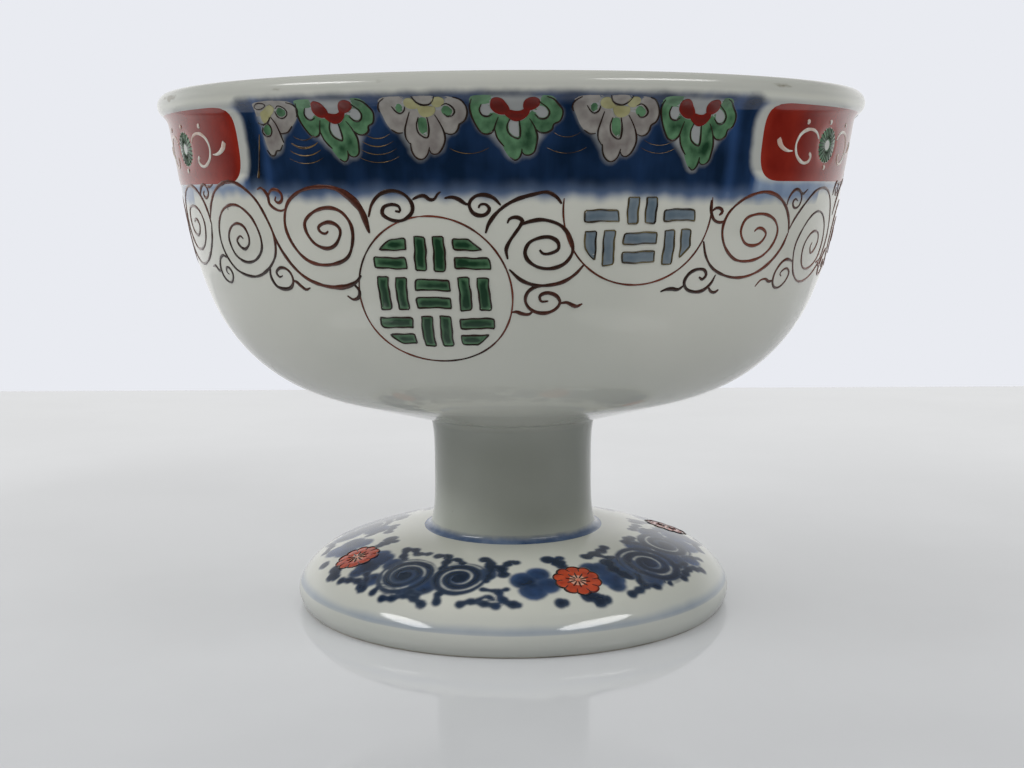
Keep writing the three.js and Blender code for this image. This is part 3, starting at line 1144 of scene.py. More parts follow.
SPIRAL_AFTER_MEDALLION = [
    (-2, 6), (5, 12), (18, 10), (27, 0), (18, -16), (0, -22), (-20, -15), (-32, 8), (-25, 30),
    (-4, 39), (22, 38), (45, 26), (56, 5), (50, -20), (30, -42), (0, -52), (-35, -47), (-61, -20),
    (-70, 12), (-63, 40), (-40, 65), (-10, 79), (15, 82), (45, 73), (70, 51), (83, 25), (88, 0),
]
SPIRAL_AFTER_MEDALLION_BASE = [
    (-103, -10), (-95, -37), (-80, -60), (-55, -76), (-25, -84), (5, -82), (35, -70), (60, -50),
    (78, -25), (87, 0),
]
SECOND_SPIRAL = [
    (-4, -3), (-8, -12), (2, -25), (16, -18), (24, 0), (16, 16), (-2, 21), (-22, 14), (-36, -4),
    (-37, -25), (-25, -48), (-2, -58), (25, -53), (48, -35), (53, -5), (45, 28), (25, 52), (0, 62),
    (-30, 53), (-55, 28), (-70, -5), (-67, -32), (-50, -64), (-22, -82), (5, -84), (40, -72),
    (65, -50), (80, -10), (75, 35), (55, 80), (30, 103), (5, 110), (-30, 103), (-65, 76), (-90, 48),
    (-103, 25),
]
SECOND_SPIRAL_CURLS = [
    [(-120, 74), (-117, 89), (-108, 102), (-97, 107), (-85, 103), (-78, 91), (-81, 77), (-90, 70),
     (-100, 73), (-103, 82), (-96, 88), (-89, 84)],
    [(-81, 101), (-74, 98), (-67, 103), (-61, 107)],
    [(-63, -41), (-74, -36), (-90, -34), (-104, -42), (-114, -60), (-113, -78), (-102, -90),
     (-87, -91), (-72, -80), (-67, -64), (-75, -54), (-88, -54), (-97, -62), (-91, -68)],
    [(-112, -75), (-124, -77), (-137, -71), (-150, -73), (-160, -85)],
]
THIRD_SPIRAL = [
    (4, -5), (-3, 0), (-15, -9), (-10, -20), (2, -26), (17, -15), (20, 0), (12, 18), (-5, 25),
    (-25, 18), (-38, 0), (-39, -15), (-30, -38), (-5, -52), (25, -47), (47, -25), (50, 0), (37, 35),
    (10, 58), (-15, 62), (-45, 50), (-63, 25), (-70, -5), (-65, -35), (-45, -65), (-15, -79),
    (20, -80), (55, -62), (77, -35), (82, 0), (72, 35), (50, 75), (15, 102), (-15, 108), (-55, 93),
    (-80, 65), (-95, 33),
]
THIRD_SPIRAL_CURLS = [
    [(-121, 74), (-119, 84), (-112, 97), (-100, 103), (-88, 98), (-84, 87), (-90, 78), (-100, 76),
     (-105, 84), (-100, 90)],
    [(-85, 99), (-76, 98), (-63, 103)],
    [(-63, -46), (-76, -42), (-90, -48), (-101, -67), (-100, -84), (-90, -95), (-76, -98),
     (-64, -90), (-59, -78), (-65, -68), (-76, -67), (-80, -76), (-73, -81)],
    [(-100, -72), (-112, -75), (-123, -66), (-138, -68)],
]
FOURTH_SPIRAL = [
    (11, -7), (5, -12), (-4, -8), (-6, 0), (12, 10), (27, 4), (32, -7), (22, -31), (5, -40),
    (-17, -31), (-30, -7), (-30, 10), (-10, 30), (18, 37), (38, 28), (51, 5), (51, -25), (38, -57),
    (0, -72), (-36, -64), (-60, -34), (-70, 4), (-60, 44), (-34, 67), (0, 76), (30, 73), (54, 56),
    (70, 32), (80, -10),
]
FOURTH_SPIRAL_BASE = [
    (-101, -4), (-94, -28), (-82, -55), (-66, -80), (-45, -100), (-20, -111), (5, -115), (30, -112),
    (48, -102), (57, -90),
]
FOURTH_SPIRAL_CURLS = [
    [(-120, 72), (-112, 75), (-104, 69), (-98, 58), (-97, 45), (-87, 35), (-74, 31), (-64, 35)],
    [(-98, 59), (-90, 70), (-78, 71), (-69, 62), (-70, 51), (-78, 46), (-84, 51), (-81, 58)],
    [(-122, -80), (-126, -98), (-119, -117), (-103, -123), (-85, -119), (-76, -105), (-78, -90),
     (-88, -81), (-102, -82), (-110, -91), (-105, -99), (-97, -96)],
    [(-78, -105), (-70, -107), (-62, -115), (-53, -122), (-43, -118)],
]
SPIRAL_AFTER_MEDALLION_PLACES = [(40, 88), (160, 88), (-83.3, 88), (-65.2, 89.9)]
SECOND_SPIRAL_PLACES = [(59, 86), (177.6, 86)]
THIRD_SPIRAL_PLACES = [(-47, 88), (77.5, 88), (195.1, 88)]
FOURTH_SPIRAL_PLACES = [(-29, 90), (92.3, 90), (211, 90)]

# Scrolls that stand between and beside the two medallions of each panel.
MEDALLION_SCROLL_PLACE = (0, 86)
MEDALLION_SCROLLS = [
    [(-249, -67), (-241, -80), (-244, -93), (-255, -98), (-264, -91)],
    [(-167, 71), (-160, 70), (-161, 79), (-172, 83), (-184, 78), (-187, 66), (-175, 55), (-160, 53),
     (-148, 60), (-141, 72), (-142, 86), (-152, 101), (-169, 108), (-188, 102), (-202, 84),
     (-209, 60)],
    [(-140, 92), (-130, 98), (-122, 98), (-116, 92), (-109, 92), (-103, 102), (-99, 106)],
    [(-94, 94), (-84, 96), (-74, 92), (-63, 83), (-58, 83)],
    [(-46, 76), (-44, 82), (-35, 82), (-31, 73), (-37, 64), (-48, 63), (-56, 70), (-59, 84),
     (-52, 96), (-40, 100), (-26, 95), (-15, 81)],
    [(-37, 30), (-32, 48), (-17, 72), (5, 90), (30, 100), (50, 104), (63, 95), (70, 83)],
    [(-6, 48), (-3, 56), (7, 59), (15, 53), (12, 43), (5, 30), (-3, 15), (-8, 0), (-6, -18)],
    [(40, -1), (45, -8), (55, -8), (67, 0), (66, 13), (55, 22), (40, 21), (25, 12), (19, -5),
     (23, -20), (38, -33), (58, -36), (78, -26), (88, -5), (84, 20), (70, 43), (45, 54), (25, 51),
     (10, 44)],
    [(-4, -37), (12, -56), (30, -66), (50, -68), (75, -62), (93, -48), (107, -28)],
    [(55, -98), (44, -98), (42, -88), (52, -82), (66, -87), (73, -100), (69, -111), (56, -120),
     (40, -120), (26, -111), (20, -96), (24, -80), (34, -71), (46, -69)],
    [(72, -103), (83, -101), (92, -106), (99, -109), (108, -104)],
    [(33, -116), (26, -123), (16, -122), (6, -118), (0, -119)],
    [(303, 88), (304, 68), (312, 50), (324, 45), (334, 48)],
    [(306, 66), (312, 72), (321, 72), (326, 65), (320, 59)],
    [(300, -59), (307, -64), (313, -56), (308, -46), (294, -44), (280, -52), (274, -68), (280, -81),
     (296, -88), (313, -86), (326, -73), (332, -56)],
    [(274, -75), (265, -82), (253, -80), (243, -81), (234, -85)],
    [(323, -80), (330, -89), (339, -91), (345, -86)],
]


def scroll_strokes(surface):
    """The spirals and their curls, each at its places round the bowl."""
    width = millimetres(settings().brush, "scroll_line")
    bold = {"swell": (0.94, 1.1, 0.06), "tips": (0.4, 0.35)}
    even = {"swell": (0.9, 0.3, 0.08), "tips": (0.4, 0.5)}
    swept = {"swell": (0.8, 0.35, 0.15), "tips": (0.5, 0.6)}
    curled = {"swell": (0.25, 0.35, 0.2)}
    plans = [
        (SPIRAL_AFTER_MEDALLION_PLACES, [SPIRAL_AFTER_MEDALLION], 0.85, even),
        (SPIRAL_AFTER_MEDALLION_PLACES, [SPIRAL_AFTER_MEDALLION_BASE], 0.8, swept),
        (SECOND_SPIRAL_PLACES, [SECOND_SPIRAL], 0.7, even),
        (SECOND_SPIRAL_PLACES, SECOND_SPIRAL_CURLS, 0.7, curled),
        (THIRD_SPIRAL_PLACES, [THIRD_SPIRAL], 0.85, even),
        (THIRD_SPIRAL_PLACES, THIRD_SPIRAL_CURLS, 0.8, curled),
        (FOURTH_SPIRAL_PLACES, [FOURTH_SPIRAL], 1.0, bold),
        (FOURTH_SPIRAL_PLACES, [FOURTH_SPIRAL_BASE], 1.0, swept),
        (FOURTH_SPIRAL_PLACES, FOURTH_SPIRAL_CURLS, 0.85, curled),
    ]
    strokes = []
    for places, lines, weight, options in plans:
        for marks in lines:
            placed = [about(place, marks) for place in places]
            strokes += [brush_marks(surface, m, width * weight, **options) for m in placed]
    return strokes


# The two round medallions of each panel hold a generic woven lattice.

FIRST_MEDALLION = {"degrees": -12.0, "heights": (64.2, 92.7), "radius": 15.0}
SECOND_MEDALLION = {"degrees": 18.9, "heights": (79.0, 109.0), "radius": 15.2}
SECOND_MEDALLION_TOP = 95.4


def medallion_centre(surface, medallion):
    """Across and run of the medallion's centre, in flat millimetres."""
    low = surface.run_at_height(medallion["heights"][0])
    return surface.across(medallion["degrees"]), low + medallion["radius"]


def disc_to_run(surface, centre, points):
    """Points of a disc round the centre, widened where the bowl is narrower than its reference."""
    run = centre[1] + points[:, 1]
    widening = surface.reference_radius / surface.radius_at(run)
    return stacked(centre[0] + points[:, 0] * widening, run)


def ring_strokes(surface, medallion, top_run=None):
    """The ring round a medallion, open at the top where the blue covers it."""
    centre = medallion_centre(surface, medallion)
    turn = np.linspace(math.radians(96), math.radians(96) + math.tau, 240)
    circle = medallion["radius"] * stacked(np.cos(turn), np.sin(turn))
    if top_run is not None:
        circle = circle[circle[:, 1] + centre[1] < top_run]
    line, radii = stroke(respaced(circle, 0.4), millimetres(settings().brush, "ring_line"))
    return [(disc_to_run(surface, centre, line), radii)]


def lattice_bars(radius, upright_first):
    """Pairs of short bars, level and upright by turns, cut off by a circle of the radius."""
    cell, bar, gap, spare = 7.9, 2.1, 1.5, 1.3
    half, offset = (cell - spare) / 2, (bar + gap) / 2
    bars = []
    for column in (-1, 0, 1):
        for row in (-1, 0, 1):
            centre = column * cell, row * cell
            upright = (column + row) % 2 == (0 if upright_first else 1)
            for middle in (-offset, offset):
                bars.append(cut_bar(centre, middle, half, bar / 2, upright, radius))
    return [outline for outline in bars if outline is not None]


def cut_bar(cell_centre, middle, half, half_width, upright, radius):
    """One bar's outline, or nothing where the circle leaves too little of it."""
    along_axis = 1 if upright else 0
    centre_along = cell_centre[along_axis]
    centre_across = cell_centre[1 - along_axis] + middle
    across = np.linspace(centre_across - half_width, centre_across + half_width, 6)
    reach = np.sqrt(np.maximum(radius ** 2 - across ** 2, 0))
    low = np.maximum(centre_along - half, -reach)
    high = np.minimum(centre_along + half, reach)
    if np.any(high - low < 1.2):
        return None
    right = stacked(high, across)
    left = stacked(low, across)[::-1]
    outline = np.vstack([right, left])
    if upright:
        outline = outline[:, ::-1]
    closed = respaced(np.vstack([outline, outline[:1]]), 0.45)[:-1]
    return anticlockwise(closed)


def hand_shaken(outline, amount=0.09):
    """An outline that wanders a little, as a brush does."""
    x, y = outline[:, 0], outline[:, 1]
    shift_x = np.sin(y * 0.9 + x * 0.31) + 0.5 * np.sin(y * 2.3 + 1.0)
    shift_y = np.sin(x * 0.8 + y * 0.27 + 2.0) + 0.5 * np.sin(x * 2.1)
    return outline + amount * stacked(shift_x, shift_y)


def medallion_bars(surface, medallion, upright_first, top_run=None):
    """The lattice's bars laid at the medallion, as outlines in flat millimetres along the run."""
    centre = medallion_centre(surface, medallion)
    outlines = []
    for outline in lattice_bars(medallion["radius"] - 1.9, upright_first):
        laid = disc_to_run(surface, centre, hand_shaken(outline))
        if top_run is not None:
            laid[:, 1] = np.minimum(laid[:, 1], top_run)
            if np.ptp(laid[:, 1]) < 1.0:
                continue
        outlines.append(laid)
    return outlines


def bar_line_strokes(outlines):
    width = millimetres(settings().brush, "leaf_line")
    strokes = []
    for outline in outlines:
        line = respaced(np.vstack([outline, outline[:1]]), 0.4)
        strokes.append(stroke(line, width, tips=(0.8, 0.8), wobble=0.2))
    return strokes


# The gold: rows of arcs like ripples between the leaves, and a drawn line with a drop.

# Each place: degrees, and the share of the full width that each ripple still has.
GOLD_RIPPLES = [
    (-30.3, (0.6, 1.3, 0.7, 0.45)), (-18.5, (0.45, 0.55, 0.4, 0.4)), (-5.7, (0, 0, 0.4, 0)),
    (7.5, (0.3, 0, 0.3, 0)), (20.7, (0, 0.3, 0.3, 0)),
]
GOLD_STEM = [(-38.7, 107.6), (-39.2, 104.6), (-39.8, 101.4), (-40.3, 99.4)]


def gold_strokes(surface):
    width = millimetres(settings().brush, "gold_line")
    strokes = []
    for degrees, shares in GOLD_RIPPLES:
        centre = to_flat(surface, [(degrees, 110.2)])[0]
        for number, share in enumerate(shares):
            if not share:
                continue
            radius = 4.0 + 1.45 * number
            half = math.radians(38 - 3 * number)
            turn = np.linspace(-math.pi / 2 - half, -math.pi / 2 + half, 30)
            arc = centre + radius * stacked(np.cos(turn), np.sin(turn))
            strokes.append(stroke(respaced(arc, 0.4), width * share, tips=(0.3, 0.3)))
    drop = {"tips": (0.4, 0.8), "swell": (0.97, 1.6, 0.1)}
    strokes.append(brush_marks(surface, GOLD_STEM, width, **drop))
    return strokes


# The foot's painting, set out in degrees and in millimetres down from the slip ring.

FOOT_FLOWERS = [-64.5, 20.5, 106.0, 197.0]
FOOT_FLOWER_DROP = 18.9
FOOT_FLOWER_RADIUS = 5.3
FOOT_FLOWER_PETALS = 10
FOOT_FLOWER_TURN = 0.4


def foot_disc(surface, degrees, points):
    """Points round a flower's centre, widened where the foot is narrower than its reference."""
    centre = surface.across(degrees), float(surface.run_at_drop(FOOT_FLOWER_DROP))
    return disc_to_run(surface, centre, points)


def polar(radii, turn):
    return stacked(radii * np.cos(turn), radii * np.sin(turn))


def flower_outline(phase):
    """A foot flower's scalloped outline about its centre, its petals turned by the phase."""
    turn = np.linspace(0, math.tau, 140, endpoint=False)
    bulge = np.abs(np.cos(FOOT_FLOWER_PETALS * (turn + phase) / 2)) ** 0.6
    scallop = 0.13
    return polar(FOOT_FLOWER_RADIUS * (1 - scallop + scallop * bulge), turn)


def foot_flower_lines(surface):
    """The scalloped outlines, petal lines and stamens of the foot's flowers."""
    lines = []
    eye, stamen = 1.2, 2.7
    for number, degrees in enumerate(FOOT_FLOWERS):
        phase = FOOT_FLOWER_TURN * number
        edge = flower_outline(phase)
        closed = respaced(np.vstack([edge, edge[:1]]), 0.35)
        drawn = [stroke(closed, 0.42, tips=(0.9, 0.9), wobble=0.3)]
        for petal in range(FOOT_FLOWER_PETALS):
            angle = (petal + 0.5) / FOOT_FLOWER_PETALS * math.tau - phase
            reach = np.linspace(3.3, FOOT_FLOWER_RADIUS * 0.86, 8)
            drawn.append(stroke(polar(reach, angle + 0.05 * (reach - 4)), 0.26))
            inner = np.linspace(eye * 0.5, stamen, 8)
            drawn.append(stroke(polar(inner, angle + 0.3 + 0 * inner), 0.4, tips=(0.6, 1.0)))
        for line, radii in drawn:
            lines.append((foot_disc(surface, degrees, line), radii))
    return lines


# Round each flower: pale leaves as degrees, drop and radius, and dark strokes with their widths.
FLOWER_WASHES = [
    (-12.2, 15.6, 2.8), (-17.0, 17.8, 3.3), (-14.6, 21.4, 3.4), (-10.2, 19.9, 3.0),
    (7.6, 15.4, 2.8), (11.2, 16.4, 3.3), (11.0, 20.0, 3.4), (10.6, 22.6, 2.3),
]
FLOWER_LEAVES = [
    ([(-5.8, 9.4), (-3.6, 10.0), (-2.2, 12.8)], 3.0), ([(-3.6, 10.0), (-0.8, 9.2)], 2.5),
    ([(0.6, 24.6), (2.8, 26.2)], 3.3), ([(2.4, 25.2), (4.8, 26.3)], 2.3),
    ([(-8.0, 25.9), (-7.0, 25.9)], 2.3),
]
# Between one pair of flowers, from the front: dark strokes, then spirals as degrees, drop,
# radius, pitch, half the width of the pale line, the way that it winds and the radius of the
# blue wash under it, which tints the line.
FIRST_SPRAY = [
    ([(-51.5, 9.9), (-47.0, 9.2), (-43.0, 10.4), (-38.5, 9.5)], 1.9),
    ([(-50.0, 10.5), (-47.5, 12.5), (-44.5, 13.8)], 1.9),
    ([(-33.0, 9.6), (-29.5, 8.9), (-27.3, 10.5), (-26.2, 13.0), (-25.5, 15.2)], 2.0),
    ([(-27.0, 11.4), (-24.0, 10.0), (-21.2, 10.8), (-19.9, 11.6)], 1.7),
    ([(-12.0, 9.0), (-10.0, 9.6), (-8.6, 12.0), (-8.0, 15.2), (-8.8, 18.0)], 2.2),
    ([(-8.5, 12.2), (-5.0, 12.6), (-3.4, 15.3)], 2.5),
    ([(-5.0, 12.8), (-2.6, 11.2), (-0.8, 9.7), (0.9, 10.1)], 2.0),
    ([(-9.0, 21.2), (-4.5, 21.6), (-2.0, 21.0)], 1.3),
    ([(-4.3, 22.0), (-3.0, 24.4), (-1.0, 25.6), (1.3, 26.1)], 1.9),
    ([(-14.2, 26.3), (-11.5, 25.3), (-8.5, 25.6), (-4.5, 26.3)], 1.7),
    ([(-9.5, 24.8), (-7.5, 23.6), (-5.5, 24.4)], 1.3),
    ([(-36.8, 27.5), (-33.8, 26.9), (-30.8, 25.6), (-27.5, 26.0), (-24.2, 27.4)], 1.8),
    ([(-33.0, 25.0), (-30.0, 24.2), (-27.0, 24.8)], 1.7),
    ([(-41.0, 26.6), (-40.5, 24.6)], 1.7),
    ([(-20.6, 26.2), (-21.2, 24.0), (-20.0, 22.6)], 1.8),
    ([(-56.0, 26.5), (-52.0, 25.2), (-48.5, 25.0), (-45.6, 27.0)], 1.9),
    ([(-50.0, 22.0), (-47.0, 24.0), (-45.0, 26.5)], 1.8),
]
FIRST_SPIRALS = [(-36.5, 19.2, 6.9, 2.3, 0.1, 1, 3.6), (-17.8, 17.6, 6.4, 2.6, 0.12, -1, 2.2)]
SECOND_SPRAY = [
    ([(31.5, 10.0), (36.0, 9.4), (41.0, 8.9), (45.3, 7.8)], 2.3),
    ([(37.0, 10.2), (39.5, 12.2), (42.0, 12.5)], 1.8),
    ([(36.6, 14.2), (36.0, 17.5), (38.0, 20.5)], 3.2),
    ([(33.5, 26.0), (37.0, 25.3), (40.5, 24.6), (43.5, 25.6)], 1.9),
    ([(41.5, 20.6), (39.5, 23.5)], 2.2),
    ([(47.0, 24.0), (48.6, 25.8)], 1.7),
    ([(55.5, 25.9), (59.0, 25.0), (62.5, 24.6), (67.5, 26.8)], 2.0),
    ([(60.0, 22.5), (65.0, 23.0)], 1.8),
    ([(61.0, 8.9), (65.0, 8.3), (69.0, 8.5)], 2.5),
    ([(63.0, 10.5), (65.0, 13.0)], 2.0),
    ([(72.0, 23.0), (74.0, 24.8)], 1.7),
    ([(83.0, 7.6), (88.0, 8.0), (93.5, 8.9)], 2.0),
    ([(83.0, 24.5), (88.0, 23.2), (93.0, 24.8)], 1.9),
    ([(88.0, 10.5), (91.0, 14.0)], 2.0),
]
SECOND_SPIRALS = [(51.5, 18.4, 8.0, 2.75, 0.12, -1, 2.4), (73.5, 16.0, 6.7, 2.6, 0.12, 1, 3.0)]
FIRST_WASHES = [(-27.5, 21.5, 3.6), (-45.5, 23.2, 2.6), (-46.0, 16.5, 2.6), (-9.5, 15.5, 2.6)]
SECOND_WASHES = [
    (41.0, 17.5, 4.8), (44.5, 23.0, 3.0), (62.5, 19.8, 4.4), (60.5, 12.0, 3.4), (81.0, 19.5, 4.4),
    (69.0, 23.2, 2.6), (84.0, 12.0, 3.4),
]
# The same sprays stand again on the foot's far side, turned by these degrees.
FIRST_TURNS = (0.0, 178.5)
SECOND_TURNS = (0.0, 183.8)
KNOB_PITCH = 2.7


def away_from(painted, degrees, drop):
    """Across and down from a place on the foot to each painted point, in millimetres."""
    turn = (painted["degrees"] - degrees + 180) % 360 - 180
    return np.radians(turn) * painted["radius"], painted["drop"] - drop


def add_wash(painted, field, centre, shift):
    across, down = away_from(painted, centre[0] + shift, centre[1])
    return np.maximum(field, centre[2] - np.hypot(across, down))


def add_leaf(painted, field, surface, leaf, shift):
    """A knobbly stroke through its marks."""
    marks, width = np.array(leaf[0], float), leaf[1]
    middle = marks[:, 0].mean()
    radius = surface.radius_at(surface.run_at_drop(marks[:, 1]))
    flat = stacked(np.radians(marks[:, 0] - middle) * radius, marks[:, 1])
    line = smooth_line(flat, 0.6)
    across, _ = away_from(painted, middle + shift, 0)
    near = np.abs(across) < 14
    points = stacked(across, painted["drop"])[near]
    gap, place = nearest_on_line(points, line)
    knobs = 1.12 + 0.2 * np.cos(math.tau * place / KNOB_PITCH)
    field = field.copy()
    field[near] = np.maximum(field[near], width / 2 * knobs - gap)
    return field


def add_spiral(painted, field, spiral, shift):
    """A dark disc with a pale line wound in it."""
    degrees, drop, size, pitch, half_line, hand, _ = spiral
    across, down = away_from(painted, degrees + shift, drop)
    distance = np.hypot(across, down)
    turns = distance / pitch - hand * np.arctan2(down, across) / math.tau
    gap = np.abs(turns - np.round(turns)) * pitch
    gap = np.where(distance < pitch * 0.55, FAR, gap)
    disc = np.minimum(size - distance, gap - half_line)
    inside = distance < size - 0.6
    return np.where(inside, disc, np.maximum(field, disc))


def foot_cobalt(painted, surface):
    """Distances into the dark and the pale blue of the foot."""
    dark = wash = far_outside(painted["drop"])
    for flower in FOOT_FLOWERS:
        for centre in FLOWER_WASHES:
            wash = add_wash(painted, wash, centre, flower)
        for leaf in FLOWER_LEAVES:
            dark = add_leaf(painted, dark, surface, leaf, flower)
    for spray, spirals, washes, turns in (
        (FIRST_SPRAY, FIRST_SPIRALS, FIRST_WASHES, FIRST_TURNS),
        (SECOND_SPRAY, SECOND_SPIRALS, SECOND_WASHES, SECOND_TURNS),
    ):
        for turn in turns:
            for centre in washes:
                wash = add_wash(painted, wash, centre, turn)
            for leaf in spray:
                dark = add_leaf(painted, dark, surface, leaf, turn)
            for spiral in spirals:
                dark = add_spiral(painted, dark, spiral, turn)
                wash = add_wash(painted, wash, (spiral[0], spiral[1], spiral[-1]), turn)
    return dark, wash


FOOT_EDGE_LINE_DROP = 32.6


# Materials. What more than one finish uses is a group.


FINISH_OUTPUTS = [("Colour", "Color"), ("Roughness", "Float"), ("Height", "Float")]


def shader_group(name, inputs, outputs):
    tree = bpy.data.node_groups.new(name, "ShaderNodeTree")
    interface(tree, inputs, outputs)
    wiring = Wiring(tree)
    return tree, wiring, wiring.add("NodeGroupInput").outputs


def mixed(w, factor, first, second):
    return w.shader("Mix", {0: factor, 6: first, 7: second}, data_type="RGBA").outputs[2]


def noise(w, place, scale, detail=2.0, stretch=None):
    if stretch is not None:
        place = w.shader("Mapping", {"Vector": place, "Scale": stretch})
    return w.shader("TexNoise", {"Vector": place, "Scale": scale, "Detail": detail})


def ranged(w, value, low, high, to_low=0.0, to_high=1.0, smooth=True):
    inputs = dict(enumerate((value, low, high, to_low, to_high)))
    kind = "SMOOTHSTEP" if smooth else "LINEAR"
    return w.shader("MapRange", inputs, interpolation_type=kind).outputs[0]


def glaze_group():
    """Clear glaze: slow changes of tint, rare specks, and a surface that waves a little."""
    tree, w, given = shader_group("Clear glaze", [
        ("Place", "Vector"), ("Glaze", "Color"), ("Pooled", "Color"),
        ("Speck", "Color"), ("Speck share", "Float", 0.06), ("Pooling", "Float", 0.0),
    ], FINISH_OUTPUTS)
    place = given["Place"]
    slow = ranged(w, noise(w, place, 22, 3), 0.35, 0.7)
    # Pooling shifts the tint toward the pooled colour; on the stem it is painted shade under the
    # bowl's overhang.
    share = w.times_plus(slow, 0.35, given["Pooling"], clamp=True)
    tint = mixed(w, share, given["Glaze"], given["Pooled"])
    cells = w.shader("TexVoronoi", {"Vector": place, "Scale": 210, "Randomness": 1.0})
    chance = w.parts(cells.outputs["Color"])[0]
    chosen = w.math("LESS_THAN", chance, given["Speck share"])
    size = w.times_plus(w.parts(cells.outputs["Color"])[1], 0.06, 0.02)
    near = w.minus(size, cells.outputs["Distance"])
    dot = ranged(w, near, -0.02, 0.02)
    speck = w.times(w.times(dot, chosen), 0.55)
    colour = mixed(w, speck, tint, given["Speck"])
    rough = w.times_plus(noise(w, place, 70, 3), 0.06, 0.05)
    swell = noise(w, place, 55, 1)
    peel = noise(w, place, 520, 1)
    height = w.times_plus(peel, 0.06, swell)
    height = w.minus(height, w.times(speck, 0.4))
    w.add("NodeGroupOutput", {0: colour, 1: rough, 2: height})
    return tree


def cobalt_group():
    """Blue under the glaze: how much there is, and how dark it is."""
    tree, w, given = shader_group("Cobalt wash", [
        ("Place", "Vector"), ("Inside", "Float", 0.0), ("Blur", "Float", 0.5),
        ("Wander", "Float", 0.6), ("Depth", "Float", 0.7), ("Streaks", "Float", 0.4),
        ("Thin edge", "Float", 0.5), ("Ripple scale", "Float", 420.0),
        ("Pale", "Color"), ("Middle", "Color"), ("Deep", "Color"),
    ], [("Amount", "Float"), ("Colour", "Color")])
    place = given["Place"]
    ripple = w.minus(noise(w, place, given["Ripple scale"], 3), 0.5)
    inside = w.times_plus(ripple, given["Wander"], given["Inside"])
    soft = w.times(given["Blur"], -1)
    amount = ranged(w, inside, soft, given["Blur"])
    streak = w.minus(noise(w, place, 260, 3, (1, 1, 0.16)), 0.5)
    cloud = w.minus(noise(w, place, 120, 2), 0.5)
    change = w.times_plus(streak, 0.7, w.times(cloud, 0.9))
    depth = w.times_plus(change, given["Streaks"], given["Depth"], clamp=True)
    pale = mixed(w, ranged(w, depth, 0.0, 0.5, smooth=False), given["Pale"], given["Middle"])
    colour = mixed(w, ranged(w, depth, 0.5, 1.0, smooth=False), pale, given["Deep"])
    thin = ranged(w, inside, soft, w.times(given["Blur"], 3), given["Thin edge"], 0.0)
    edge = mixed(w, 0.55, given["Middle"], given["Pale"])
    colour = mixed(w, thin, colour, edge)
    w.add("NodeGroupOutput", {0: amount, 1: colour})
    return tree


def enamel_group():
    """Enamel over the glaze: thin at its edge, uneven where it pooled, and slightly pitted."""
    tree, w, given = shader_group("Enamel coat", [
        ("Place", "Vector"), ("Edge distance", "Float", 1.0), ("Thin", "Color"),
        ("Thick", "Color"), ("Cloud scale", "Float", 260.0), ("Evenness", "Float", 0.5),
        ("Reach", "Float", 1.8), ("Dullness", "Float", 0.08),
    ], FINISH_OUTPUTS)
    place = given["Place"]
    cloud = noise(w, place, given["Cloud scale"], 3)
    pooled = ranged(w, given["Edge distance"], 0.1, given["Reach"])
    share = w.times(pooled, given["Evenness"])
    share = w.plus(share, w.times(w.minus(cloud, 0.4), 2.1), clamp=True)
    colour = mixed(w, share, given["Thin"], given["Thick"])
    rough = w.times_plus(noise(w, place, 900, 2), 0.1, given["Dullness"])
    height = w.times_plus(noise(w, place, 700, 2), 0.5, cloud)
    w.add("NodeGroupOutput", {0: colour, 1: rough, 2: height})
    return tree


def dry_line_group():
    """A brushed line: darker where the brush was full, broken where it ran dry."""
    tree, w, given = shader_group("Brushed line", [
        ("Place", "Vector"), ("Full", "Color"), ("Dry", "Color"),
        ("Patch scale", "Float", 120.0), ("Bias", "Float", 0.0),
    ], FINISH_OUTPUTS)
    place = given["Place"]
    patches = w.plus(noise(w, place, given["Patch scale"], 2), given["Bias"])
    grain = noise(w, place, 1600, 2)
    share = ranged(w, w.times_plus(grain, 0.16, patches), 0.42, 0.74)
    colour = mixed(w, share, given["Full"], given["Dry"])
    rough = w.times_plus(grain, 0.16, 0.08)
    w.add("NodeGroupOutput", {0: colour, 1: rough, 2: grain})
    return tree


def bare_clay_group():
    """Unglazed clay of the resting ring: warm, fine-grained and a little dirty."""
    tree, w, given = shader_group("Bare clay", [
        ("Place", "Vector"), ("Clay", "Color"), ("Dirt", "Color"),
    ], FINISH_OUTPUTS)
    grit = noise(w, given["Place"], 1400, 4)
    smudge = ranged(w, noise(w, given["Place"], 90, 3), 0.45, 0.7, 0.0, 0.5)
    colour = mixed(w, smudge, given["Clay"], given["Dirt"])
    colour = mixed(w, w.times(grit, 0.25), colour, given["Dirt"])
    w.add("NodeGroupOutput", {0: colour, 1: 0.75, 2: grit})
    return tree


def use_group(w, name, build, values):
    return w.shader("Group", values, node_tree=shared_tree(name, build)).outputs


def new_material(name):
    material = bpy.data.materials.new(name)
    material.use_nodes = True
    wiring = Wiring(material.node_tree)
    place = wiring.shader("TexCoord").outputs["Object"]
    return material, wiring, place


def finish_material(w, colour, roughness, height, strength, distance=0.0001, metallic=0.0):
    """One glossy surface with its bump, the same for every finish of the pot."""
    bump = w.shader("Bump", {"Strength": strength, "Distance": distance, "Height": height})
    surface = w.shader("BsdfPrincipled", {
        "Base Color": colour, "Roughness": roughness, "Metallic": metallic, "Normal": bump,
        "IOR": 1.5,
    })
    w.shader("OutputMaterial", {"Surface": surface})


def attribute(w, name):
    return w.shader("Attribute", attribute_name=name).outputs["Fac"]


def clear_glaze(w, place, pooling_and_shade=0.0):
    paints = settings().paints
    return use_group(w, "Clear glaze", glaze_group, {
        "Place": place, "Glaze": paints.porcelain, "Pooled": paints.pooled_and_shaded_glaze,
        "Speck": paints.scroll_dark, "Pooling": pooling_and_shade,
    })


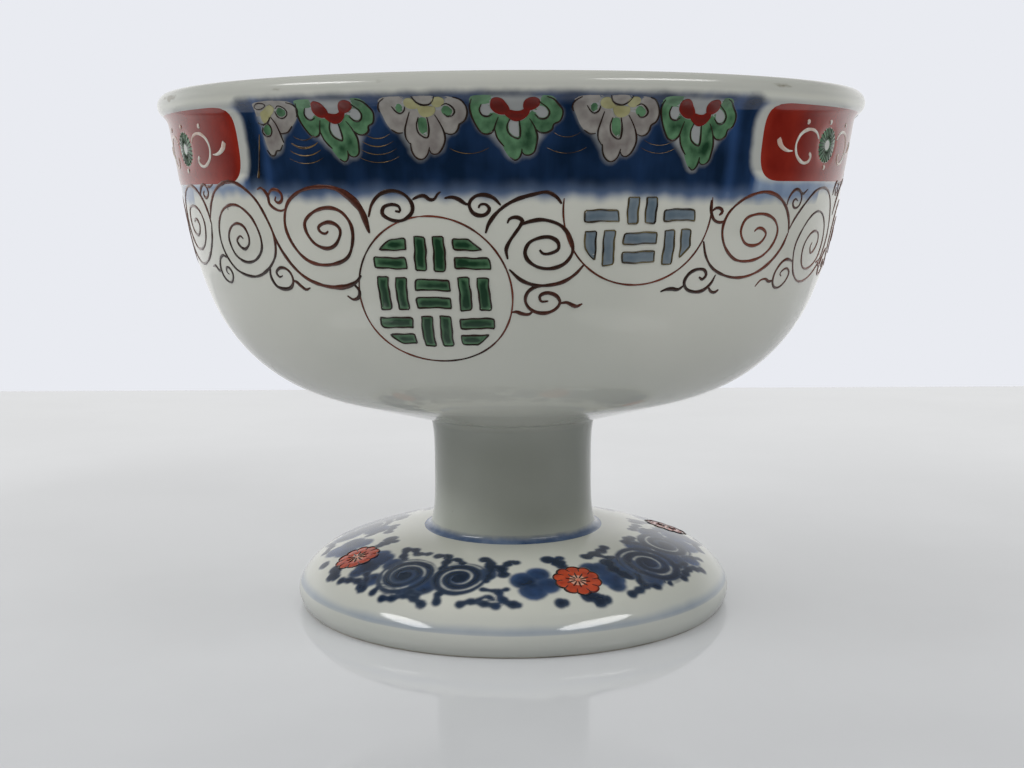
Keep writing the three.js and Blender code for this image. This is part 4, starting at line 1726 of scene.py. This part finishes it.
def cobalt(w, place, inside, blur, depth, wander, streaks, thin_edge=0.5, ripple=420.0):
    """Blue where the distance inside says, with its blur and wander in millimetres."""
    paints = settings().paints
    return use_group(w, "Cobalt wash", cobalt_group, {
        "Place": place, "Inside": inside, "Blur": blur, "Depth": depth, "Wander": wander,
        "Streaks": streaks, "Thin edge": thin_edge, "Ripple scale": ripple,
        "Pale": paints.pale_cobalt, "Middle": paints.cobalt,
        "Deep": paints.deep_cobalt,
    })


LIP_WEAR_HEIGHT = 0.1145
SLIP_LINE_HEIGHT = 18.1


def lip_wear(w, place, on_lip):
    """Small brown scuffs along the lip, more of them on the left."""
    scuff = noise(w, place, 260, 3, (0.55, 0.55, 1.6))
    patch_here = noise(w, place, 38, 2)
    amount = w.times_plus(patch_here, 0.5, scuff)
    amount = w.times_plus(w.parts(place)[0], -0.9, amount)
    return w.times(ranged(w, amount, 0.91, 1.05, 0.0, 0.6), on_lip)


def bowl_glaze():
    """The bowl: clear glaze over the blue band outside and the two blue rings inside."""
    material, w, place = new_material("bowl glaze")
    glaze = clear_glaze(w, place)
    depth = attribute(w, "band_depth")
    low = cobalt(
        w, place, attribute(w, "band_foot"), blur=1.3, depth=depth, wander=1.2, streaks=0.5,
        thin_edge=0.85, ripple=160,
    )
    cut = cobalt(
        w, place, attribute(w, "band_reserve"), blur=1.0, depth=depth, wander=1.1, streaks=0.5,
        ripple=230,
    )
    ring = cobalt(
        w, place, attribute(w, "inner_rings"), blur=0.5, depth=0.45, wander=0.4, streaks=0.6,
    )
    band = w.times(low["Amount"], cut["Amount"])
    # Under the band the glaze turns to the leaf ground: cobalt-greyed glaze with painted shade from
    # the lip over it.
    ground = settings().paints.leaf_ground
    colour = mixed(w, attribute(w, "leaf_ground"), glaze["Colour"], ground)
    colour = mixed(w, band, colour, low["Colour"])
    colour = mixed(w, ring["Amount"], colour, ring["Colour"])
    height = w.parts(place)[2]
    on_lip = ranged(w, height, LIP_WEAR_HEIGHT, LIP_WEAR_HEIGHT + 0.001)
    wear = lip_wear(w, place, on_lip)
    # The whole lip is also greyed 30% toward the leaf ground's darker tone.
    colour = mixed(w, w.times(on_lip, 0.3), colour, ground)
    colour = mixed(w, wear, colour, settings().paints.olive_line)
    rough = w.times_plus(on_lip, 0.05, glaze["Roughness"])
    finish_material(w, colour, rough, glaze["Height"], 0.35)
    return material


def plain_glaze(name, pooling_and_shade=0.0):
    material, w, place = new_material(name)
    glaze = clear_glaze(w, place, pooling_and_shade)
    finish_material(w, glaze["Colour"], glaze["Roughness"], glaze["Height"], 0.35)
    return material


def blue_slip_glaze():
    """The slip ring on the foot, with a loose blue line run round it."""
    material, w, place = new_material("blue slip glaze")
    glaze = clear_glaze(w, place, 0.5)
    height = w.times(w.parts(place)[2], 1 / MM)
    below = w.minus(SLIP_LINE_HEIGHT, height)
    wash = cobalt(w, place, below, blur=0.9, depth=0.42, wander=0.8, streaks=0.8)
    colour = mixed(w, wash["Amount"], glaze["Colour"], wash["Colour"])
    finish_material(w, colour, glaze["Roughness"], glaze["Height"], 0.35)
    return material


def foot_glaze():
    """The foot: blue scrolls and pale leaves under the glaze, and a bare resting ring."""
    paints = settings().paints
    material, w, place = new_material("foot glaze")
    glaze = clear_glaze(w, place)
    wash = cobalt(
        w, place, attribute(w, "foot_wash"), blur=0.6, depth=0.74, wander=0.5, streaks=1.1,
        thin_edge=0.3,
    )
    dark = cobalt(
        w, place, attribute(w, "foot_dark"), blur=0.46, depth=1.06, wander=0.4, streaks=0.6,
        thin_edge=0.26,
    )
    line = cobalt(
        w, place, attribute(w, "foot_line"), blur=1.3, depth=0.12, wander=1.6, streaks=0.3,
        ripple=90,
    )
    clay = use_group(w, "Bare clay", bare_clay_group, {
        "Place": place, "Clay": paints.bare_clay, "Dirt": paints.olive_line,
    })
    faint = w.times(line["Amount"], 0.62)
    # Painted shade: the foot's side below 11 mm is tinted up to 10% toward pale cobalt, darker
    # where the table shades it.
    below = ranged(w, w.parts(place)[2], 0.011, 0.006, 0.0, 0.1)
    colour = mixed(w, below, glaze["Colour"], paints.pale_cobalt)
    colour = mixed(w, faint, colour, line["Colour"])
    colour = mixed(w, wash["Amount"], colour, wash["Colour"])
    colour = mixed(w, dark["Amount"], colour, dark["Colour"])
    bare = ranged(w, attribute(w, "foot_bare"), -0.15, 0.15)
    colour = mixed(w, bare, colour, clay["Colour"])
    rough = w.plus(w.times(bare, 0.65), glaze["Roughness"])
    finish_material(w, colour, rough, glaze["Height"], 0.35)
    return material


def enamel(name, thin, thick, cloud_scale=260.0, evenness=0.5, reach=1.8, dullness=0.08):
    material, w, place = new_material(name)
    coat = use_group(w, "Enamel coat", enamel_group, {
        "Place": place, "Edge distance": attribute(w, "edge_distance"), "Thin": thin,
        "Thick": thick, "Cloud scale": cloud_scale, "Evenness": evenness,
        "Reach": reach, "Dullness": dullness,
    })
    finish_material(w, coat["Colour"], coat["Roughness"], coat["Height"], 0.25, 0.00008)
    return material


def brushed(name, full, dry, patch_scale=120.0, bias=0.0, metallic=0.0, to_right=0.0):
    material, w, place = new_material(name)
    bias = w.times_plus(w.parts(place)[0], to_right, bias)
    line = use_group(w, "Brushed line", dry_line_group, {
        "Place": place, "Full": full, "Dry": dry, "Patch scale": patch_scale,
        "Bias": bias,
    })
    finish_material(w, line["Colour"], line["Roughness"], line["Height"], 0.2, 0.00005, metallic)
    return material


# Where the blue goes on the turned pieces, stored as distances in millimetres at each point.


def places_round(mesh):
    """Degrees from the front, radius and height of each point of a mesh, in millimetres."""
    places = np.empty(len(mesh.vertices) * 3)
    mesh.vertices.foreach_get("co", places)
    x, y, z = places.reshape(-1, 3).T / MM
    return np.degrees(np.arctan2(x, -y)), np.hypot(x, y), z


def in_panel(degrees):
    """Degrees brought into the front panel, from the middle of one cartouche to the next."""
    start = CARTOUCHE_CENTRE - PANEL_PITCH
    return (degrees - start) % PANEL_PITCH + start


BAND_TOP = 114.25
FAR = 9.0


def far_outside(points):
    """A distance far outside any painting, for each of the points."""
    return np.full(len(points), -FAR)


def store_distance(mesh, name, distances):
    store(mesh, name, np.clip(distances, -FAR, FAR))


def from_cartouche(degrees):
    """Degrees from the middle of the nearest cartouche."""
    half = PANEL_PITCH / 2
    return np.abs((degrees - CARTOUCHE_CENTRE + half) % PANEL_PITCH - half)


def leaf_margin(height):
    """The white left round a leaf: none at the lip, and most at the leaf's tip."""
    tip = np.clip((108.0 - height) / 4, 0, 1)
    lip = np.clip(height - 111.0, 0, 1)
    return 0.36 * tip - 0.3 - 0.4 * lip


def band_reserves(surface, degrees, height):
    """How far each point is outside the white left for the leaves and the cartouches."""
    flat = to_flat(surface, stacked(in_panel(degrees), height))
    leaves = leaf_places(GREEN_LEAF, GREEN_LEAF_PLACES)
    leaves += leaf_places(LILAC_LEAF, LILAC_LEAF_PLACES)
    leaves += leaf_places(END_LEAF, END_LEAF_PLACES)
    above_cartouche = np.clip((21.3 - from_cartouche(degrees)) / 3, 0, 1)
    outside = BAND_TOP - 1.8 * above_cartouche - height
    for leaf in leaves:
        outline = leaf_shape(surface, leaf, 0.7)
        hull = outline[convex_hull_2d(outline.tolist())]
        depth = np.maximum(depth_inside(flat, outline), depth_inside(flat, hull) - 0.55)
        outside = np.minimum(outside, -depth - leaf_margin(height))
    right = cartouche_outline(surface, 2.7, 0.3)
    for pale in (right, right - (surface.across(PANEL_PITCH), 0)):
        outside = np.minimum(outside, -depth_inside(flat, pale))
    return outside


def bump_at(values, centre, spread):
    return np.exp(-(((values - centre) / spread) ** 2))


def band_depth(degrees, height):
    """How dark the band is: darkest low down, paler at the lip and under the cartouches."""
    local = in_panel(degrees)
    depth = 0.94 - 0.012 * np.clip(height - 103, 0, 20) - 0.22 * bump_at(height, 95.6, 1.2)
    depth += 0.12 * bump_at(local, -40.6, 1.4) + 0.06 * bump_at(local, 35.0, 1.1)
    depth -= 0.34 * bump_at(local, -37.9, 0.9) + 0.3 * bump_at(local, 33.1, 1.2)
    under = np.clip((20.5 - from_cartouche(local)) / 2.5, 0, 1)
    return depth * (1 - under) + 0.06 * under


def band_foot(degrees, height):
    """Distance above the band's foot, which dips to the right and rises at the left end."""
    local = in_panel(degrees)
    foot = 95.4 - 0.9 * np.clip((local - 20) / 12, 0, 1) + 1.0 * np.clip((-37 - local) / 4, 0, 1)
    foot += 0.25 * np.sin(local * 0.9) + 0.15 * np.sin(local * 2.3 + 1)
    return height - foot


def paint_bowl_band(mesh, surface):
    degrees, radius, height = places_round(mesh)
    wall = surface.radius_at(surface.run_at_height(height))
    outside = (radius > wall - 1.0) & (height > 92) & (height < BAND_TOP + 2)
    foot, reserve, depth = far_outside(degrees), far_outside(degrees), np.zeros(len(degrees))
    # The leaf ground, cobalt-greyed glaze with painted shade of the lip, is half as strong beside
    # the cartouches.
    ground = 0.5 + 0.5 * np.clip((from_cartouche(degrees) - 20.5) / 3, 0, 1)
    ground *= np.clip(BAND_TOP - height, 0, 1)
    store(mesh, "leaf_ground", ground * (outside & (height > 100)))
    foot[outside] = band_foot(degrees[outside], height[outside])
    reserve[outside] = band_reserves(surface, degrees[outside], height[outside])
    depth[outside] = band_depth(degrees[outside], height[outside])
    store_distance(mesh, "band_foot", foot)
    store_distance(mesh, "band_reserve", reserve)
    store(mesh, "band_depth", depth)
    inside = radius < wall - 1.0
    rings = np.maximum(0.9 - np.abs(height - 106.0), 0.6 - np.abs(height - 102.6))
    rings = np.maximum(rings, 0.8 - np.abs(radius - 31.0) - FAR * (height > 60))
    store(mesh, "inner_rings", np.where(inside, rings, -FAR))


def paint_foot(mesh, surface):
    degrees, radius, height = places_round(mesh)
    top = (radius > 21.0) & (height > 2.0)
    outline = surface.outline
    run = np.interp(radius, outline[::-1, 0], surface.run[::-1])
    over = height > np.interp(radius, outline[::-1, 0], outline[::-1, 1]) - 1.0
    drop = surface.run[-1] - run
    shown = top & over
    dark, wash, line = (far_outside(degrees) for _ in range(3))
    painted = {"degrees": degrees[shown], "drop": drop[shown], "radius": radius[shown]}
    dark[shown], wash[shown] = foot_cobalt(painted, surface)
    line[shown] = 0.8 - np.abs(drop[shown] - FOOT_EDGE_LINE_DROP)
    for name, distances in (("dark", dark), ("wash", wash), ("line", line)):
        store_distance(mesh, "foot_" + name, distances)
    store(mesh, "foot_bare", np.where(radius > 46.0, 0.35 - height, -FAR))


# The operators, in the order in which the pot is made.


class WashingBowlMaker:
    """What every operator of the pot shares."""

    bl_options = {"REGISTER", "UNDO"}

    def execute(self, context):
        self.make(context.scene.washing_bowl)
        return {"FINISHED"}


class WASHINGBOWL_OT_bowl(WashingBowlMaker, bpy.types.Operator):
    """Throws the bowl and paints its blue band under the glaze"""

    bl_idname = "washing_bowl.bowl"
    bl_label = "Bowl"

    def make(self, given):
        outline = bowl_outline(given.clay)
        piece = turned_piece("glazed_bowl", outline, bowl_glaze(), given.clay.columns)
        paint_bowl_band(piece.data, bowl_surface(given.clay))
        hand_in(piece, "bowl")


class WASHINGBOWL_OT_stem(WashingBowlMaker, bpy.types.Operator):
    """Throws the stem and lays the two rings of slip at its ends"""

    bl_idname = "washing_bowl.stem"
    bl_label = "Stem and slip rings"

    def make(self, given):
        clay = given.clay
        waist = millimetres(clay, "stem_waist_diameter") / 2
        stem_top = waist + millimetres(clay, "stem_top_flare")
        stem_base = waist + millimetres(clay, "stem_base_flare")
        bowl_seat = millimetres(clay, "bowl_seat_radius")
        foot_seat = millimetres(clay, "foot_slip_radius")
        # The stem's glaze is pooled to 0.8 and darker all over: painted shade under the bowl.
        stem = turned_piece("glazed_stem", stem_outline(clay), plain_glaze("stem glaze", 0.8), 360)
        upper = slip_outline(clay, stem_top, bowl_seat, STEM_HIGH.z / MM, BOWL_LOW.z / MM)
        lower = slip_outline(clay, foot_seat, stem_base, FOOT_HIGH.z / MM, STEM_LOW.z / MM)
        upper_ring = turned_piece("glazed_bowl_slip", upper, plain_glaze("pooled glaze", 0.6), 360)
        lower_ring = turned_piece("glazed_foot_slip", lower, blue_slip_glaze(), 360)
        hand_in(stem, "stem")
        hand_in(upper_ring, "bowl_slip_ring")
        hand_in(lower_ring, "foot_slip_ring")


class WASHINGBOWL_OT_foot(WashingBowlMaker, bpy.types.Operator):
    """Throws the foot and paints its scrolls and leaves under the glaze"""

    bl_idname = "washing_bowl.foot"
    bl_label = "Foot"

    def make(self, given):
        columns = round(given.clay.columns * 1.15)
        piece = turned_piece("glazed_foot", foot_outline(given.clay), foot_glaze(), columns)
        paint_foot(piece.data, foot_surface(given.clay))
        hand_in(piece, "foot")


class WASHINGBOWL_OT_cartouches(WashingBowlMaker, bpy.types.Operator):
    """Paints the red cartouches with their pale scrolls and green chrysanthemums"""

    bl_idname = "washing_bowl.cartouches"
    bl_label = "Cartouches"

    def make(self, given):
        surface = bowl_surface(given.clay)
        paints = given.paints
        red = enamel(
            "iron red enamel", paints.thin_red, paints.iron_red, 140, evenness=0.6, reach=2.5,
        )
        pale = brushed("reserved line", paints.reserve, paints.porcelain, 200)
        disc, petal_lines, eye = chrysanthemum(surface)
        green = enamel("flower green enamel", paints.green, paints.deep_green, 300, evenness=0.3)
        dark = brushed("petal line", paints.dark_line, paints.deep_green, 200)
        ground = [(cartouche_outline(surface), [disc])]
        painted_patches("red_cartouches", surface, ground, red, PANELS)
        scrolls = cartouche_scroll_strokes(surface)
        painted_strokes("cartouche_scrolls", surface, scrolls, pale, PANELS, True)
        painted_patches("chrysanthemums", surface, [(disc, [eye])], green, PANELS)
        painted_strokes("petal_lines", surface, petal_lines, dark, PANELS, True)


class WASHINGBOWL_OT_leaves(WashingBowlMaker, bpy.types.Operator):
    """Paints the hanging leaves, their crowns and their outlines"""

    bl_idname = "washing_bowl.leaves"
    bl_label = "Hanging leaves"

    def make(self, given):
        surface = bowl_surface(given.clay)
        paints = given.paints
        end = END_LEAF_PLACES
        green = enamel(
            "green enamel", paints.green, paints.deep_green, 330, evenness=0.55, reach=2.0,
        )
        lilac = enamel("lilac enamel", paints.lilac, paints.deep_lilac, 300, reach=2.0)
        yellow = enamel(
            "yellow enamel", paints.yellow, paints.deep_yellow, 400, evenness=0.3, reach=1.5,
        )
        red = enamel(
            "crown red enamel", paints.iron_red, paints.crown_red, 300, evenness=0.8, reach=0.8,
            dullness=0.18,
        )
        line = brushed("leaf outline", paints.dark_line, paints.scroll_dark, 250)
        whole = GREEN_LEAF + GREEN_LEAF_UNDER_CROWN
        leaves = leaf_patches(surface, whole, GREEN_LEAF_DROPS, GREEN_LEAF_PLACES)
        leaves += plain_patches(surface, LILAC_LEAF_DROPS, LILAC_LEAF_PLACES)
        leaves += plain_patches(surface, END_LEAF_DROPS, end)
        painted_patches("green_leaves", surface, leaves, green, PANELS)
        whole = LILAC_LEAF + LILAC_LEAF_UNDER_CROWN
        leaves = leaf_patches(surface, whole, LILAC_LEAF_DROPS, LILAC_LEAF_PLACES)
        leaves += plain_patches(surface, [LILAC_HALF_DISC], LILAC_LEAF_PLACES)
        leaves += leaf_patches(surface, END_LEAF, END_LEAF_DROPS + [END_CROWN], end)
        painted_patches("lilac_leaves", surface, leaves, lilac, PANELS)
        crowns = plain_patches(surface, RED_CROWN, GREEN_LEAF_PLACES)
        painted_patches("red_crowns", surface, crowns, red, PANELS, CROWN_LIFT)
        crowns = plain_patches(surface, YELLOW_CROWN, LILAC_LEAF_PLACES)
        crowns += plain_patches(surface, [END_CROWN], end)
        painted_patches("yellow_crowns", surface, crowns, yellow, PANELS, CROWN_LIFT)
        lines = leaf_line_strokes(surface)
        painted_strokes("leaf_outlines", surface, lines, line, PANELS, True)


class WASHINGBOWL_OT_gold(WashingBowlMaker, bpy.types.Operator):
    """Draws the worn gold ripples between the leaves"""

    bl_idname = "washing_bowl.gold"
    bl_label = "Gold ripples"

    def make(self, given):
        surface = bowl_surface(given.clay)
        paints = given.paints
        gold = brushed("worn gold", paints.gold, paints.scroll_dark, 300, bias=-0.02, metallic=0.35)
        painted_strokes("gold_ripples", surface, gold_strokes(surface), gold, PANELS)


class WASHINGBOWL_OT_scrolls(WashingBowlMaker, bpy.types.Operator):
    """Draws the spirals round the bowl and the curls beside the medallions"""

    bl_idname = "washing_bowl.scrolls"
    bl_label = "Scroll work"

    def make(self, given):
        surface = bowl_surface(given.clay)
        paints = given.paints
        line = brushed(
            "scroll line", paints.scroll_dark, paints.red_line, 26, bias=-0.05, to_right=1.4,
        )
        spirals = scroll_strokes(surface)
        painted_strokes("scroll_spirals", surface, spirals, line)
        width = millimetres(given.brush, "scroll_line")
        placed = [about(MEDALLION_SCROLL_PLACE, marks) for marks in MEDALLION_SCROLLS]
        curls = [brush_marks(surface, marks, width) for marks in placed]
        painted_strokes("medallion_curls", surface, curls, line, PANELS)


class WASHINGBOWL_OT_medallions(WashingBowlMaker, bpy.types.Operator):
    """Paints the ringed medallions with a woven lattice, green and grey-blue"""

    bl_idname = "washing_bowl.medallions"
    bl_label = "Medallions"

    def make(self, given):
        surface = bowl_surface(given.clay)
        paints = given.paints
        top = float(surface.run_at_height(SECOND_MEDALLION_TOP))
        ring = brushed("ring line", paints.red_line, paints.scroll_dark, 60)
        green = enamel(
            "lattice green enamel", paints.green, paints.deep_green, 200, evenness=0.9, reach=0.9,
        )
        blue = enamel(
            "lattice blue enamel", paints.grey_blue, paints.deep_grey_blue, 240, reach=0.9,
        )
        dark = brushed("lattice outline", paints.dark_line, paints.scroll_dark, 200)
        olive = brushed("olive outline", paints.olive_line, paints.dark_line, 240)
        rings = ring_strokes(surface, FIRST_MEDALLION)
        rings += ring_strokes(surface, SECOND_MEDALLION, top)
        painted_strokes("medallion_rings", surface, rings, ring, PANELS)
        bars = medallion_bars(surface, FIRST_MEDALLION, upright_first=False)
        self.lattice(surface, "green_lattice", bars, green, "green_enamel", dark)
        bars = medallion_bars(surface, SECOND_MEDALLION, upright_first=True, top_run=top)
        self.lattice(surface, "blue_lattice", bars, blue, "blue_enamel", olive)

    def lattice(self, surface, name, bars, coat, slot, line):
        painted_patches(name, surface, [(outline, []) for outline in bars], coat, PANELS)
        lines = bar_line_strokes(bars)
        painted_strokes(name + "_outlines", surface, lines, line, PANELS, True)


class WASHINGBOWL_OT_foot_flowers(WashingBowlMaker, bpy.types.Operator):
    """Paints the orange-red flowers on the foot"""

    bl_idname = "washing_bowl.foot_flowers"
    bl_label = "Foot flowers"

    def make(self, given):
        surface = foot_surface(given.clay)
        paints = given.paints
        red = enamel("flower red enamel", paints.flower_red, paints.thin_red, 500, 0.25, reach=2.0)
        eye = enamel("flower eye enamel", paints.flower_eye, paints.flower_red, 900, 0.3, reach=2.0)
        line = brushed("flower outline", paints.dark_line, paints.iron_red, 300, bias=-0.12)
        flowers, eyes = [], []
        for number, degrees in enumerate(FOOT_FLOWERS):
            edge = flower_outline(FOOT_FLOWER_TURN * number)
            middle = round_outline((0, 0), 1.9, 1.9, 0.3)
            centre = foot_disc(surface, degrees, middle)
            flowers.append((foot_disc(surface, degrees, edge), [centre]))
            eyes.append((centre, []))
        painted_patches("foot_flowers", surface, flowers, red)
        painted_patches("foot_flower_eyes", surface, eyes, eye)
        lines = foot_flower_lines(surface)
        painted_strokes("foot_flower_lines", surface, lines, line, 1, True)


class WASHINGBOWL_OT_stage(WashingBowlMaker, bpy.types.Operator):
    """Sets the table, the background, the lights and the camera"""

    bl_idname = "washing_bowl.stage"
    bl_label = "Table, lights and camera"

    def make(self, given):
        stage = given.stage
        lay_table(stage)
        light_background(stage)
        place_lamps()
        place_camera(stage)
        bpy.context.scene.view_settings.view_transform = "Standard"


def lay_table(stage):
    """A wide slab with its top at the bowl's foot and a straight back edge."""
    half, thick = stage.table_width / 2, 0.03
    front, back = -stage.table_front, stage.table_back
    corners = [(-half, front), (half, front), (half, back), (-half, back)]
    points = [(x, y, 0) for x, y in corners] + [(x, y, -thick) for x, y in corners]
    faces = [(0, 1, 2, 3), (7, 6, 5, 4)]
    faces += [(i + 4, (i + 1) % 4 + 4, (i + 1) % 4, i) for i in range(4)]
    mesh = bpy.data.meshes.new("table")
    mesh.from_pydata(points, [], faces)
    table = link(mesh, "table")
    mesh.materials.append(table_material(stage))
    bevel = table.modifiers.new("edge", "BEVEL")
    bevel.width = 0.003
    bevel.segments = 3


def table_material(stage):
    material, w, place = new_material("glossy table")
    cloud = ranged(w, noise(w, place, 9, 4), 0.35, 0.65)
    paler = stage.table * 1.06
    colour = mixed(w, cloud, stage.table, paler)
    # Past its front edge the room is dark, and reflections of the table fade toward that.
    front = ranged(w, w.parts(place)[1], -0.07, -0.17, 0.0, 0.85)
    path = w.shader("LightPath").outputs
    unlit = w.times(path["Is Glossy Ray"], front)
    colour = mixed(w, unlit, colour, (0.02, 0.02, 0.02, 1))
    rough = w.times_plus(cloud, 0.03, 0.04)
    finish_material(w, colour, rough, noise(w, place, 60, 2), 0.02)
    return material


def light_background(stage):
    """A pale wall for what the camera and reflections see, and a plain sky that lights the pot."""
    world = bpy.data.worlds.new("studio")
    bpy.context.scene.world = world
    world.use_nodes = True
    w = Wiring(world.node_tree)
    direction = w.shader("TexCoord").outputs["Generated"]
    x, y, z = w.parts(direction)
    below = ranged(w, z, -0.05, -0.2, 0.0, 0.98)
    above = w.times(ranged(w, z, 0.15, 0.6), ranged(w, z, 0.65, 1.0, 0.59, 0.1))
    side = w.times_plus(ranged(w, x, 0.0, -1.0), 1.8, 1.0)
    side = w.plus(ranged(w, y, -0.2, 0.9, 0.0, 1.5), side)
    light = w.times_plus(above, side, below)
    path = w.shader("LightPath").outputs
    toward_wall = w.times_plus(x, -0.05, y)
    gloss = ranged(w, toward_wall, 0.15, 0.78, 0.02, 0.93)
    gloss = w.times(gloss, ranged(w, z, -0.4, -0.2, 0.1, 1.0))
    gloss = w.times(gloss, ranged(w, z, 0.2, 0.5, 1.0, 0.3))
    seen = w.math("MAXIMUM", path["Is Camera Ray"], path["Is Transmission Ray"])
    soft = w.shader("Background", {"Color": (1, 0.995, 0.985, 1), "Strength": light})
    shine = w.shader("Background", {"Color": (1, 1, 1, 1), "Strength": gloss})
    wall = w.shader("Background", {"Color": stage.background, "Strength": 1.0})
    lit = w.shader("MixShader", {0: path["Is Glossy Ray"], 1: soft, 2: shine})
    shown = w.shader("MixShader", {0: seen, 1: lit, 2: wall})
    w.shader("OutputWorld", {"Surface": shown})


def place_lamps():
    """Two soft boxes above and in front, to the left and to the right."""
    target = Vector((0, 0, 0.06))
    reach = 1.5
    for name, azimuth, elevation, size, power in (
        ("left soft box", -67, 38, (0.78, 0.24), 4.3),
        ("right soft box", 52, 44, (1.0, 0.27), 6.0),
    ):
        turn, elevation = math.radians(azimuth), math.radians(elevation)
        level = math.cos(elevation)
        toward = Vector((math.sin(turn) * level, -math.cos(turn) * level, math.sin(elevation)))
        data = bpy.data.lights.new(name, "AREA")
        data.shape = "ELLIPSE"
        data.size, data.size_y = size
        data.energy = power
        lamp = link(data, name)
        lamp.location = target + toward * reach
        lamp.rotation_euler = (-toward).to_track_quat("-Z", "Y").to_euler()


def place_camera(stage):
    """The camera stands where the photograph was taken from."""
    data = bpy.data.cameras.new("camera")
    data.lens = stage.focal_length
    data.sensor_width = 36
    data.clip_start, data.clip_end = 0.01, 20
    data.shift_x = 0.0005
    camera = link(data, "camera")
    camera.location = (0, -stage.camera_distance, stage.camera_height)
    camera.rotation_euler = (math.pi / 2 - stage.camera_pitch, 0.005, 0)
    bpy.context.scene.camera = camera


OPERATORS = (
    WASHINGBOWL_OT_bowl, WASHINGBOWL_OT_stem, WASHINGBOWL_OT_foot, WASHINGBOWL_OT_cartouches,
    WASHINGBOWL_OT_leaves, WASHINGBOWL_OT_gold, WASHINGBOWL_OT_scrolls,
    WASHINGBOWL_OT_medallions, WASHINGBOWL_OT_foot_flowers, WASHINGBOWL_OT_stage,
)
GROUPS = (
    WashingBowlClay, WashingBowlBrush, WashingBowlPaints, WashingBowlStage, WashingBowlSettings,
)


class WASHINGBOWL_PT_panel(bpy.types.Panel):
    """Lists the steps and the settings of the washing bowl"""

    bl_idname = "WASHINGBOWL_PT_panel"
    bl_label = "Washing Bowl"
    bl_space_type = "VIEW_3D"
    bl_region_type = "UI"
    bl_category = "Washing Bowl"

    def draw(self, context):
        given = context.scene.washing_bowl
        for operator in OPERATORS:
            self.layout.operator(operator.bl_idname)
        for group in (given.clay, given.brush, given.paints, given.stage):
            box = self.layout.box()
            for name in group.__annotations__:
                box.prop(group, name)


def register():
    for item in (*GROUPS, *OPERATORS, WASHINGBOWL_PT_panel):
        bpy.utils.register_class(item)
    bpy.types.Scene.washing_bowl = bpy.props.PointerProperty(type=WashingBowlSettings)


def unregister():
    del bpy.types.Scene.washing_bowl
    for item in reversed((*GROUPS, *OPERATORS, WASHINGBOWL_PT_panel)):
        bpy.utils.unregister_class(item)


def main():
    register()
    for operator in OPERATORS:
        group, name = operator.bl_idname.split(".")
        getattr(getattr(bpy.ops, group), name)()


if __name__ == "__main__":
    main()
